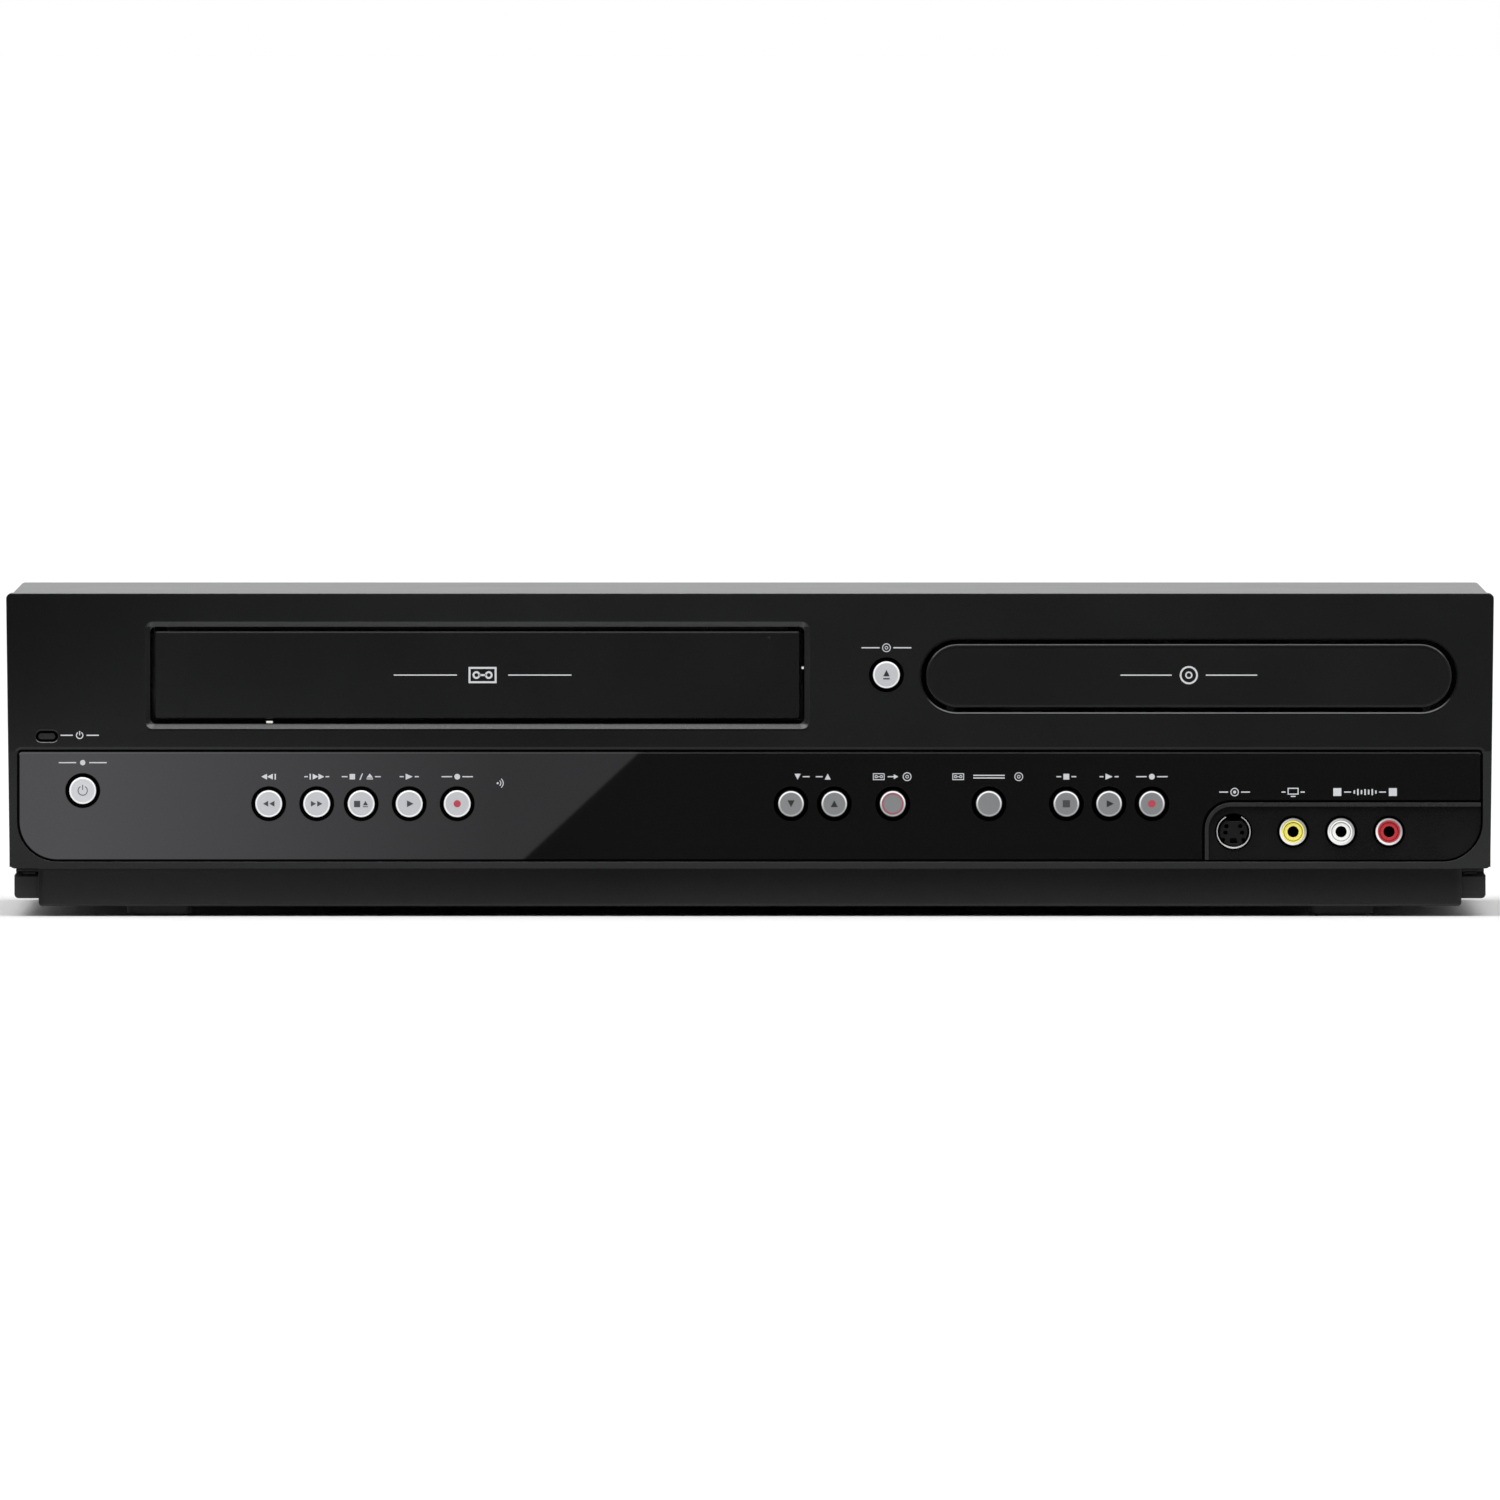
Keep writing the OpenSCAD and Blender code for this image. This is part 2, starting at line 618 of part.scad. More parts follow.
// ---- cassette door ----
door_chamfer = 0.4;
door_line_side = 8.8;
door_lines = [door_x0 + door_line_side, door_x1 - door_line_side];
door_pip_r = 0.35;
door_pip_h = 0.2;
module cassette_door() {
  arm_y0 = door_back_y - eps;
  color("#141517") {
    difference() {
      union() {
        intersection() {
          slab(door_front_y, door_back_y) soft_rect(door_x0, door_x1, door_z0, door_z1, 1, 1);
          // chamfers along the upper and lower edges
          translate([door_x0 - 1, 0, 0]) rotate([90, 0, 90]) linear_extrude(door_x1 - door_x0 + 2)
            polygon([[door_front_y, door_z0 + door_chamfer], [door_front_y + door_chamfer, door_z0],
                     [door_back_y + 1, door_z0], [door_back_y + 1, door_z1],
                     [door_front_y + door_chamfer, door_z1], [door_front_y, door_z1 - door_chamfer]]);
        }
        // a pip at the top of each line
        for (x = door_lines) rod_y(door_pip_r, x, door_z1 - 2, door_front_y - door_pip_h, door_front_y + eps);
      }
      // a shallow moulded line near each end
      for (x = door_lines)
        block(x - 0.2, x + 0.2, door_front_y - 1, door_front_y + 0.15, door_z0 - 1, door_z1 - 3);
    }
    // stiffening ribs on the back
    for (x = [door_x0 + 24 : (door_x1 - door_x0 - 48) / 6 : door_x1 - 23])
      block(x - 0.6, x + 0.6, arm_y0, door_back_y + 1.2, door_z0 + 2, door_z1 - 3);
    for (z = [door_z0 + 2, door_z1 - 4.2])
      block(door_x0 + 8, door_x1 - 8, arm_y0, door_back_y + 1.2, z, z + 1.2);
    // arms up to the hinge, with a lug and a pin at each end
    for (side = [0, 1]) {
      x = side == 0 ? door_x0 : door_x1 - door_arm_t;
      block(x, x + door_arm_t, arm_y0, hinge_y + door_lug_r, door_z1 - 9, door_z1 - 1);
      block(x, x + door_arm_t, hinge_y - door_lug_r, hinge_y + door_lug_r, door_z1 - 1 - eps, hinge_z);
      rod_x(door_lug_r, hinge_y, hinge_z, x, x + door_arm_t);
    }
    rod_x(door_pin_r, hinge_y, hinge_z, ear_left - ear_t, door_x0 + 1);
    // the right-hand pin is longer, because it carries the spring
    rod_x(door_pin_r, hinge_y, hinge_z, door_x1 - 1, ear_right + ear_t + spring_w + 2 * seat);
  }
}

// Torsion spring round the end of the right-hand pin
spring_wire_r = 0.25;
spring_turns = 5;
spring_w = spring_turns * 2 * spring_wire_r;
module door_spring() {
  coil_r = door_pin_r + 0.55;
  x0 = ear_right + ear_t + seat;
  color("#a9abae") {
    for (i = [0 : spring_turns - 1])
      translate([x0 + spring_wire_r + i * 2 * spring_wire_r, hinge_y, hinge_z])
        rotate([0, 90, 0]) rotate_extrude() translate([coil_r, 0]) circle(spring_wire_r + 0.02, $fn = 16);
    rod_y(spring_wire_r, x0 + spring_wire_r, hinge_z + coil_r, front_back_y, hinge_y);
  }
}

// ---- disc drawer ----
tray_x0 = slot_x - tray_w / 2;
tray_x1 = slot_x + tray_w / 2;
tray_bottom = slot_z - 4;
tray_rim_h = 5;
tray_top = tray_bottom + tray_rim_h;
tray_proud = 0.7;
tray_front_y = face_y - tray_proud;
tray_y0 = tray_front_y + tray_front_t;
disc_y = tray_y0 + disc_dia / 2 + 10;
runner_reach = 1.8;
runner_z0 = tray_bottom + 1.2;
runner_z1 = runner_z0 + 2;
gear_module = 2 * gear_pitch_r / gear_teeth;
gear_y = tray_y0 + 12;
rack_x = tray_x0 + 26;
gear_x = rack_x - gear_pitch_r;
rack_h = 3;
rack_back = 2.2;
tooth_play = 0.16;
spindle_slot_w = 40;

// One straight rack tooth, drawn in X and Y, pointing to -X from the pitch line
module rack_tooth(y) {
  half = PI * gear_module / 4 - tooth_play;
  lean = gear_module * tan(20);
  polygon([
    [rack_x + gear_module * 1.25, y - half - lean * 1.25], [rack_x + gear_module * 1.25, y + half + lean * 1.25],
    [rack_x - gear_module * 0.8, y + half - lean * 0.8], [rack_x - gear_module * 0.8, y - half + lean * 0.8]
  ]);
}

module disc_tray() {
  rack_y0 = gear_y - PI * gear_module * 3;
  tooth_steps = floor((tray_y0 + tray_d - 2 - gear_y) / (PI * gear_module));
  color("#202124") {
    difference() {
      union() {
        block(tray_x0, tray_x1, tray_y0, tray_y0 + tray_d, tray_bottom, tray_top);
        for (x = [tray_x0 - runner_reach, tray_x1 - eps])
          block(x, x + runner_reach + eps, tray_y0 + 10, tray_y0 + tray_d, runner_z0, runner_z1);
      }
      // recesses for a full size and a small disc
      translate([slot_x, disc_y, tray_bottom + tray_floor_t + 0.8]) cylinder(r = disc_dia / 2 + 1.2, h = 9, $fn = 96);
      translate([slot_x, disc_y, tray_bottom + tray_floor_t]) cylinder(r = disc_dia / 3 + 1, h = 9, $fn = 96);
      // scoops that let fingers reach the disc's edge
      for (side = [-1, 1]) translate([slot_x + side * tray_w / 2, disc_y, tray_bottom + tray_floor_t + 0.8])
        cylinder(r = 13, h = 9);
      // slot that the spindle and the lens work through
      translate([slot_x, disc_y, tray_bottom - 1]) cylinder(r = spindle_slot_w / 2, h = 9);
      block(slot_x - spindle_slot_w / 2, slot_x + spindle_slot_w / 2, disc_y, tray_y0 + tray_d + 1,
            tray_bottom - 1, tray_top + 1);
    }
    // rack under the floor
    translate([0, 0, tray_bottom - rack_h]) linear_extrude(rack_h + eps) {
      translate([rack_x + gear_module * 1.2, rack_y0]) square([rack_back, tray_y0 + tray_d - 2 - rack_y0]);
      for (i = [-2 : tooth_steps - 1]) rack_tooth(gear_y + i * PI * gear_module);
    }
  }
}

module tray_front() {
  edge = 0.5;
  w = slot_w - 2 * slot_gap - 0.4;
  h = slot_h - 2 * slot_gap;
  r = h / 2;
  // the face is a stadium with a small chamfer all round
  color("#151618") {
    slab(tray_front_y + edge, tray_y0) stadium(slot_x, slot_z, w, h);
    for (side = [-1, 1]) translate([slot_x + side * (w / 2 - r), tray_front_y, slot_z]) rotate([-90, 0, 0])
      cylinder(r1 = r - edge, r2 = r, h = edge + eps);
    translate([slot_x - w / 2 + r, 0, slot_z]) rotate([90, 0, 90]) linear_extrude(w - 2 * r)
      polygon([[tray_front_y, r - edge], [tray_front_y + edge + eps, r],
               [tray_front_y + edge + eps, -r], [tray_front_y, edge - r]]);
  }
}

// Involute flank: points of one tooth's side from the base circle out to the tip
function flank(base_r, tip_r, side, turn) = [
  for (k = [0 : 4]) let (
    r = base_r + (tip_r - base_r) * k / 4,
    roll = sqrt(pow(r / base_r, 2) - 1),
    a = roll * 180 / PI - atan(roll)
  ) [r * cos(turn + side * a), r * sin(turn + side * a)]
];
function reversed(list) = [for (i = [len(list) - 1 : -1 : 0]) list[i]];

module tray_gear() {
  pressure = 20;
  base_r = gear_pitch_r * cos(pressure);
  tip_r = gear_pitch_r + gear_module * 0.8;
  root_r = gear_pitch_r - gear_module * 1.25;
  roll = tan(pressure);
  pitch_a = roll * 180 / PI - pressure;
  half_a = 90 / gear_teeth - tooth_play / gear_pitch_r * 180 / PI + pitch_a;
  pitch_step = 360 / gear_teeth;
  wheel_r = 11;
  color("#d9d4c4") translate([gear_x, gear_y, 0]) difference() {
    union() {
      translate([0, 0, tray_bottom - rack_h - 0.2]) linear_extrude(rack_h - 0.2) {
        circle(root_r);
        // a gap between two teeth faces the rack's tooth at rest
        for (i = [0 : gear_teeth - 1]) let (a = (i + 0.5) * pitch_step)
          polygon(concat(
            [[0, 0], [(root_r - 0.1) * cos(a - half_a), (root_r - 0.1) * sin(a - half_a)]],
            flank(base_r, tip_r, 1, a - half_a),
            reversed(flank(base_r, tip_r, -1, a + half_a)),
            [[(root_r - 0.1) * cos(a + half_a), (root_r - 0.1) * sin(a + half_a)]]
          ));
      }
      translate([0, 0, tray_bottom - rack_h - 3.2]) cylinder(r = wheel_r, h = 3.01);
    }
    translate([0, 0, tray_bottom - 12]) cylinder(r = 2 + run_fit, h = 20);
  }
}

// ---- disc loader ----
loader_wall = 2.4;
loader_x0 = tray_x0 - runner_reach - 0.6 - loader_wall;
loader_x1 = tray_x1 + runner_reach + 0.6 + loader_wall;
loader_y0 = front_back_y + 4;
loader_y1 = tray_y0 + tray_d + 4;
loader_floor_z = 49;
loader_floor_t = 2.4;
loader_top = tray_top + 4;
rod_r = 1.5;
rod_z = loader_floor_z + loader_floor_t + 6;
rod_dx = 24;
rod_y0 = disc_y + 14;
rod_y1 = disc_y + 76;
bridge_t = 1.2;
bridge_half_d = 15;
loader_legs = [[loader_x0 + 8, bezel_back_y + 8], [loader_x1 - 8, bezel_back_y + 8],
               [loader_x0 + 8, loader_y1 - 10], [loader_x1 - 8, loader_y1 - 10]];

module loader_frame() {
  color("#3a3c40") difference() {
    union() {
      difference() {
        block(loader_x0, loader_x1, loader_y0, loader_y1, loader_floor_z, loader_top);
        block(loader_x0 + loader_wall, loader_x1 - loader_wall, loader_y0 - 1, loader_y1 - loader_wall,
              loader_floor_z + loader_floor_t, loader_top + 1);
        // light openings along the side walls
        for (i = [0 : 4])
          block(loader_x0 - 1, loader_x1 + 1, loader_y0 + 14 + i * 28, loader_y0 + 32 + i * 28,
                loader_floor_z + 6, runner_z0 - 4);
      }
      // ledges that the tray's runners slide on
      for (x = [loader_x0 + loader_wall - eps, loader_x1 - loader_wall - runner_reach + eps]) {
        block(x, x + runner_reach, loader_y0, loader_y1 - loader_wall, runner_z0 - seat - 1.6, runner_z0 - seat);
        block(x, x + runner_reach, loader_y0 + 12, loader_y0 + 40, runner_z1 + seat, runner_z1 + seat + 1.6);
      }
      // legs down to the floor pan
      for (p = loader_legs) translate([p[0], p[1], pan_top]) cylinder(r = 4, h = loader_floor_z - pan_top + 1);
      // pin that the drive gear turns on
      translate([gear_x, gear_y, loader_floor_z]) cylinder(r = 2, h = tray_bottom - rack_h - 0.6 + 2.4 - loader_floor_z);
      translate([gear_x, gear_y, loader_floor_z]) cylinder(r = 4, h = tray_bottom - rack_h - 3.5 - loader_floor_z);
    }
    // opening over the traverse
    block(slot_x - 40, slot_x + 40, disc_y - 24, rod_y1 + 8, loader_floor_z - 1, loader_floor_z + loader_floor_t + 1);
    for (p = loader_legs) translate([p[0], p[1], pan_top - 1]) cylinder(r = 1.3, h = 12);
  }
}

// Plate, guide rods and spindle motor, hung in the loader's floor opening
module traverse_unit() {
  plate_z = loader_floor_z + loader_floor_t;
  color("#8f9296") {
    difference() {
      block(slot_x - 44, slot_x + 44, disc_y - 28, rod_y1 + 12, plate_z, plate_z + 1.2);
      block(slot_x - 19, slot_x + 19, disc_y + 16, rod_y1 + 2, plate_z - 1, plate_z + 3);
    }
    for (side = [-1, 1]) {
      rod_y(rod_r, slot_x + side * rod_dx, rod_z, rod_y0, rod_y1);
      for (y = [rod_y0, rod_y1 - 4])
        block(slot_x + side * rod_dx - 3, slot_x + side * rod_dx + 3, y, y + 4, plate_z + 1.2 - eps, rod_z + 2.5);
    }
    difference() {
      translate([slot_x, disc_y, plate_z + 1.2 - eps]) cylinder(r = 13, h = 7);
      translate([slot_x, disc_y, plate_z + 2]) cylinder(r = 1.5 + run_fit, h = 9);
    }
  }
}

turntable_z = tray_bottom + tray_floor_t + 0.2;
module spindle_turntable() {
  motor_top = loader_floor_z + loader_floor_t + 1.2 + 7;
  disc_hole_r = 7.5;
  color("#b8babd") translate([slot_x, disc_y, 0]) {
    translate([0, 0, loader_floor_z + loader_floor_t + 3]) cylinder(r = 1.5, h = turntable_z - loader_floor_z - 4);
    translate([0, 0, motor_top + seat]) cylinder(r = 11, h = 2.5);
    translate([0, 0, turntable_z - 2]) cylinder(r = 14.5, h = 2);
    translate([0, 0, turntable_z - eps]) cylinder(r1 = disc_hole_r - 0.3, r2 = disc_hole_r - 1.6, h = 1.8);
    translate([0, 0, motor_top + 2]) cylinder(r = 5, h = turntable_z - motor_top - 3);
  }
}

pickup_y = disc_y + 28;
module optical_pickup() {
  lens_top = tray_bottom + 0.4;
  half_d = 9;
  color("#44474b") {
    difference() {
      union() {
        block(slot_x - rod_dx - 4, slot_x + rod_dx + 4, pickup_y - half_d, pickup_y + half_d, rod_z - 2.6, rod_z + 2.8);
        block(slot_x - 14, slot_x + 14, pickup_y - half_d, pickup_y + half_d, rod_z + 2, lens_top - 2);
      }
      for (side = [-1, 1]) rod_y(rod_r + run_fit, slot_x + side * rod_dx, rod_z, pickup_y - 20, pickup_y + 20);
    }
    translate([slot_x, pickup_y - 2, lens_top - 2 - eps]) cylinder(r = 4, h = 1);
    translate([slot_x, pickup_y - 2, lens_top - 1.5]) cylinder(r = 2.4, h = 1.1);
  }
}

bridge_z = loader_top;
puck_hole_r = 9;
module clamp_bridge() {
  color("#9a9da1") difference() {
    union() {
      block(loader_x0, loader_x1, disc_y - bridge_half_d, disc_y + bridge_half_d, bridge_z, bridge_z + bridge_t);
      for (y = [disc_y - bridge_half_d, disc_y + bridge_half_d - 1.2])
        block(loader_x0 + 8, loader_x1 - 8, y, y + 1.2, bridge_z, bridge_z + 4);
    }
    translate([slot_x, disc_y, bridge_z - 1]) cylinder(r = puck_hole_r, h = 9);
  }
}

module clamp_puck() {
  color("#2c2d30") translate([slot_x, disc_y, 0]) {
    translate([0, 0, tray_top + 0.6]) cylinder(r = 14, h = 2.2);
    translate([0, 0, tray_top + 2.7]) cylinder(r = puck_hole_r - 0.4, h = bridge_z + bridge_t + seat - tray_top - 2.6);
    translate([0, 0, bridge_z + bridge_t + seat]) cylinder(r = 12, h = 1.8);
  }
}

// ---- tape deck ----
deck_z = 26;
deck_t = 1.2;
deck_top = deck_z + deck_t;
cassette_w = 187;
cassette_d = 103;
cassette_h = 25;
holder_t = 1;
holder_play = 0.8;
holder_x0 = mouth_x - cassette_w / 2 - holder_play - holder_t;
holder_x1 = mouth_x + cassette_w / 2 + holder_play + holder_t;
holder_y0 = hinge_y + (hinge_z - door_z0) + 2;
holder_y1 = holder_y0 + cassette_d + 2;
holder_z0 = mouth_bottom;
holder_z1 = holder_z0 + 2 * holder_t + cassette_h + 1;
holder_travel = 24;
guide_pin_r = 2;
bracket_gap = 2.4;
bracket_t = 1.2;
bracket_x = [holder_x0 - bracket_gap - bracket_t, holder_x1 + bracket_gap];
guide_ys = [holder_y0 + 18, holder_y1 - 18];
guide_z = holder_z0 + 12;
deck_x0 = bracket_x[0];
deck_x1 = bracket_x[1] + bracket_t;
deck_y0 = holder_y0;

reel_dx = 46.5;
reel_y = holder_y0 + 50;
reel_pin_r = 2;
drum_x = mouth_x;
drum_y = holder_y1 + 44;
drum_r = 31;
deck_y1 = drum_y + drum_r + 5;
drum_tilt = 5;
drum_z = deck_top + 8;
lower_drum_h = 15;
upper_drum_h = 15;
drum_split = 0.5;
capstan_x = mouth_x + 58;
capstan_y = holder_y1 + 14;
capstan_r = 1.5;
arm_pivot_x = capstan_x + 22;
arm_pivot_y = capstan_y + 10;
pinch_r = 6.5;
pinch_gap = 3;

module deck_chassis() {
  leg_xs = [deck_x0 + 8, deck_x1 - 8];
  leg_ys = [deck_y0 + 8, (deck_y0 + deck_y1) / 2 + 20, deck_y1 - 8];
  slot_low = guide_z - holder_travel - guide_pin_r - 0.2;
  slot_high = guide_z + guide_pin_r + 0.2;
  color("#a5a8a8") difference() {
    union() {
      block(deck_x0, deck_x1, deck_y0, deck_y1, deck_z, deck_top);
      for (x = bracket_x) block(x, x + bracket_t, deck_y0, holder_y1 + 4, deck_z, holder_z1 + 2);
      for (x = leg_xs, y = leg_ys) translate([x, y, pan_top]) cylinder(r = 3.5, h = deck_z - pan_top + eps);
      // pins that the reels turn on
      for (s = [-1, 1]) translate([mouth_x + s * reel_dx, reel_y, deck_top - eps]) cylinder(r = reel_pin_r, h = 12);
      // bearing of the capstan
      translate([capstan_x, capstan_y, deck_z - 3]) cylinder(r = 4.5, h = deck_t + 9);
      // pivot of the pinch roller's arm
      translate([arm_pivot_x, arm_pivot_y, deck_top - eps]) cylinder(r = 2, h = 14);
      // tape guides each side of the drum
      for (s = [-1, 1], k = [0, 1]) translate([drum_x + s * (drum_r + 10 + k * 12), drum_y - 22 - k * 14, deck_top - eps]) {
        cylinder(r = 2.5, h = 32);
        cylinder(r = 4, h = 8);
        translate([0, 0, 29]) cylinder(r = 3.6, h = 3);
      }
      // fixed erase head on its bracket
      block(drum_x - 66, drum_x - 52, drum_y - 18, drum_y - 8, deck_top - eps, deck_top + 28);
    }
    // slots that the holder's guide pins run in
    for (y = guide_ys) {
      block(deck_x0 - 1, deck_x1 + 1, y - guide_pin_r - 0.3, y + guide_pin_r + 0.3, slot_low, slot_high);
    }
    // bore for the capstan
    translate([capstan_x, capstan_y, deck_z - 5]) cylinder(r = capstan_r + run_fit, h = 20);
    // opening under the drum, and lightening holes
    translate([drum_x, drum_y, deck_z - 1]) cylinder(r = 16, h = 4);
    for (s = [-1, 1]) block(mouth_x + s * 24 - 9, mouth_x + s * 24 + 9, deck_y0 + 14, deck_y0 + 74, deck_z - 1, deck_top + 1);
    for (x = leg_xs, y = leg_ys) translate([x, y, pan_top - 1]) cylinder(r = 1.3, h = 10);
  }
}

holder_strip_d = 8;
module cassette_holder() {
  floor_w = 26;
  pin_out = bracket_gap + bracket_t + 1;
  color("#b4b7b9") {
    difference() {
      block(holder_x0, holder_x1, holder_y0, holder_y1, holder_z0, holder_z1);
      block(holder_x0 + holder_t, holder_x1 - holder_t, holder_y0 - 1, holder_y1 + 1,
            holder_z0 + holder_t, holder_z1 - holder_t);
      // the floor is open between its two side shelves, behind a strip at the front
      block(holder_x0 + floor_w, holder_x1 - floor_w, holder_y0 + holder_strip_d, holder_y1 + 1,
            holder_z0 - 1, holder_z0 + 2);
      // windows in the top plate
      for (s = [-1, 1])
        block(mouth_x + s * 48 - 26, mouth_x + s * 48 + 26, holder_y0 + 30, holder_y1 - 24, holder_z1 - 2, holder_z1 + 1);
      // lead-in notches at the sides
      for (y = [holder_y0 + 40, holder_y0 + 64])
        block(holder_x0 - 1, holder_x1 + 1, y, y + 12, holder_z0 + 4, holder_z0 + 16);
    }
    // stop tabs that the cassette comes against
    for (x = [holder_x0, holder_x1 - 14])
      block(x, x + 14, holder_y1 - holder_t, holder_y1, holder_z0 + holder_t - eps, holder_z0 + 9);
    for (y = guide_ys) {
      rod_x(guide_pin_r, y, guide_z, holder_x0 - pin_out, holder_x0 + eps);
      rod_x(guide_pin_r, y, guide_z, holder_x1 - eps, holder_x1 + pin_out);
    }
  }
}

module reel(x) {
  fins = 6;
  color("#dcdcd8") translate([x, reel_y, 0]) difference() {
    union() {
      translate([0, 0, deck_top + seat]) cylinder(r = 19, h = 2.6);
      translate([0, 0, deck_top + seat + 2.5]) cylinder(r = 13, h = 3);
      translate([0, 0, deck_top + seat + 5.4]) cylinder(r = 6.5, h = 7);
      translate([0, 0, deck_top + seat + 12.3]) cylinder(r1 = 6.5, r2 = 4.5, h = 3);
      for (i = [0 : fins - 1]) rotate(i * 360 / fins)
        translate([6, -0.9, deck_top + seat + 5.4]) cube([2.4, 1.8, 6]);
    }
    translate([0, 0, deck_top - 1]) cylinder(r = reel_pin_r + run_fit, h = 14.4);
  }
}

// The drum's two halves share a tilted axis
module on_drum_axis() {
  translate([drum_x, drum_y, drum_z]) rotate([-drum_tilt, 0, 0]) children();
}

module drum_base() {
  ledge_lean = 7;
  color("#c3c5c6") difference() {
    union() {
      block(drum_x - 36, drum_x + 36, drum_y - 26, drum_y + 30, deck_top, deck_top + 4);
      on_drum_axis() {
        translate([0, 0, -4]) cylinder(r = 22, h = 5);
        cylinder(r = drum_r, h = lower_drum_h, $fn = 96);
        // ledge that guides the tape round the drum on a slant
        difference() {
          cylinder(r = drum_r + 0.5, h = lower_drum_h, $fn = 96);
          translate([0, 0, 7]) rotate([0, ledge_lean, 0]) translate([-50, -50, 0]) cube([100, 100, 40]);
        }
      }
    }
    on_drum_axis() translate([0, 0, -14]) cylinder(r = 3 + run_fit, h = 40);
    translate([drum_x, drum_y, deck_top - 1]) cylinder(r = 12, h = 3);
  }
}

module head_drum() {
  color("#d4d6d8") on_drum_axis() {
    difference() {
      translate([0, 0, lower_drum_h + drum_split]) cylinder(r = drum_r, h = upper_drum_h, $fn = 96);
      // windows that the heads look out of
      for (a = [0 : 90 : 270]) rotate(a + 20)
        translate([drum_r - 2.5, -1.8, lower_drum_h]) cube([4, 3.6, 3.2]);
      translate([0, 0, lower_drum_h + upper_drum_h - 3.5]) difference() {
        cylinder(r = drum_r - 4, h = 6);
        cylinder(r = 13, h = 6);
      }
    }
    translate([0, 0, lower_drum_h + drum_split + upper_drum_h - eps]) cylinder(r = 9, h = 5);
    translate([0, 0, 1]) cylinder(r = 3, h = lower_drum_h);
  }
}

module capstan_flywheel() {
  wheel_z = deck_z - 11;
  color("#cfd1d3") translate([capstan_x, capstan_y, 0]) {
    translate([0, 0, wheel_z]) cylinder(r = capstan_r, h = deck_top + 38 - wheel_z);
    difference() {
      translate([0, 0, wheel_z]) cylinder(r = 22, h = 7);
      translate([0, 0, wheel_z - 1]) difference() {
        cylinder(r = 19, h = 5);
        cylinder(r = 5, h = 5);
      }
    }
  }
}

module deck_motor() {
  coils = 6;
  base_z = pan_top + 2;
  color("#b0743a") translate([capstan_x, capstan_y, 0]) {
    translate([0, 0, base_z]) cylinder(r = 26, h = 1.4);
    for (i = [0 : coils - 1]) rotate(i * 360 / coils)
      translate([12, 0, base_z + 1.4 - eps]) cylinder(r = 4.6, h = 2.6);
    for (a = [45 : 90 : 315]) rotate(a) translate([23.2, 0, pan_top]) cylinder(r = 2.4, h = 2 + eps);
  }
}

module pinch_roller() {
  reach = capstan_r + pinch_r + pinch_gap;
  roller_z = deck_top + 13;
  roller_x = capstan_x + reach * cos(60);
  roller_y = capstan_y + reach * sin(60);
  arm_a = atan2(roller_y - arm_pivot_y, roller_x - arm_pivot_x);
  arm_len = norm([roller_x - arm_pivot_x, roller_y - arm_pivot_y]);
  color("#2a2a2c") {
    difference() {
      union() {
        translate([arm_pivot_x, arm_pivot_y, deck_top + seat]) cylinder(r = 4, h = 12);
        translate([arm_pivot_x, arm_pivot_y, deck_top + 9]) rotate(arm_a)
          translate([0, -3, 0]) cube([arm_len, 6, 2.4]);
        translate([roller_x, roller_y, deck_top + 9]) cylinder(r = 3, h = 5);
        translate([roller_x, roller_y, roller_z]) cylinder(r = pinch_r, h = 16);
      }
      translate([arm_pivot_x, arm_pivot_y, deck_top - 1]) cylinder(r = 2 + run_fit, h = 20);
    }
  }
}

// ---- cabinet ----
vent_y0 = 10;
screw_head_r = 3.2;
screw_head_t = 1;
screw_r = 1.4;
side_screw_z = 20;
side_screw_ys = [-96, 118];
rear_screw_side = 57.5;
rear_screw_xs = [rear_screw_side - face_w / 2, 0, face_w / 2 - rear_screw_side];
rear_lip = 11;
rear_screw_z = cover_top - 6;
dimple_r = 5.5;

module cover_profile(inset = 0) {
  x = cover_half_w - inset;
  r = max(cover_bend_r - inset, 0.3);
  soft_rect(-x, x, cover_bottom - 40, cover_top - inset, r, r);
}

module top_cover() {
  color("#232427") difference() {
    union() {
      difference() {
        slab(cover_y, rear_y + cover_t) cover_profile();
        slab(cover_y - 1, rear_y) cover_profile(cover_t);
        // the rear is open below the lip
        block(-cover_half_w + 6, cover_half_w - 6, rear_y - 1, rear_y + 2, cover_bottom - 50, cover_top - rear_lip);
      }
      // pressed dimples for the side screws
      for (side = [-1, 1], y = side_screw_ys)
        rod_x(dimple_r, y, side_screw_z, side > 0 ? cover_half_w - cover_t - dimple_d : -cover_half_w,
              side > 0 ? cover_half_w : -cover_half_w + cover_t + dimple_d);
    }
    // the sides end level with the face's lower edge
    block(-face_w, face_w, cover_y - 1, rear_y + 3, -50, cover_bottom);
    for (side = [-1, 1], y = side_screw_ys) {
      x = side * cover_half_w;
      rod_x(dimple_r - 1, y, side_screw_z, side > 0 ? x - dimple_d : x - 1, side > 0 ? x + 1 : x + dimple_d);
      rod_x(screw_r + 0.2, y, side_screw_z, x - 4, x + 4);
    }
    for (x = rear_screw_xs) rod_y(screw_r + 0.2, x, rear_screw_z, rear_y - 1, rear_y + 3);
    // ventilation slots, each with round ends
    for (i = [0 : vent_count - 1]) {
      y = vent_y0 + i * vent_pitch;
      z = (cover_top + cover_bottom) / 2 + 4;
      block(-face_w, face_w, y - vent_w / 2, y + vent_w / 2, z - vent_h / 2, z + vent_h / 2);
      for (end = [-1, 1]) rod_x(vent_w / 2, y, z + end * vent_h / 2, -face_w, face_w);
    }
  }
}

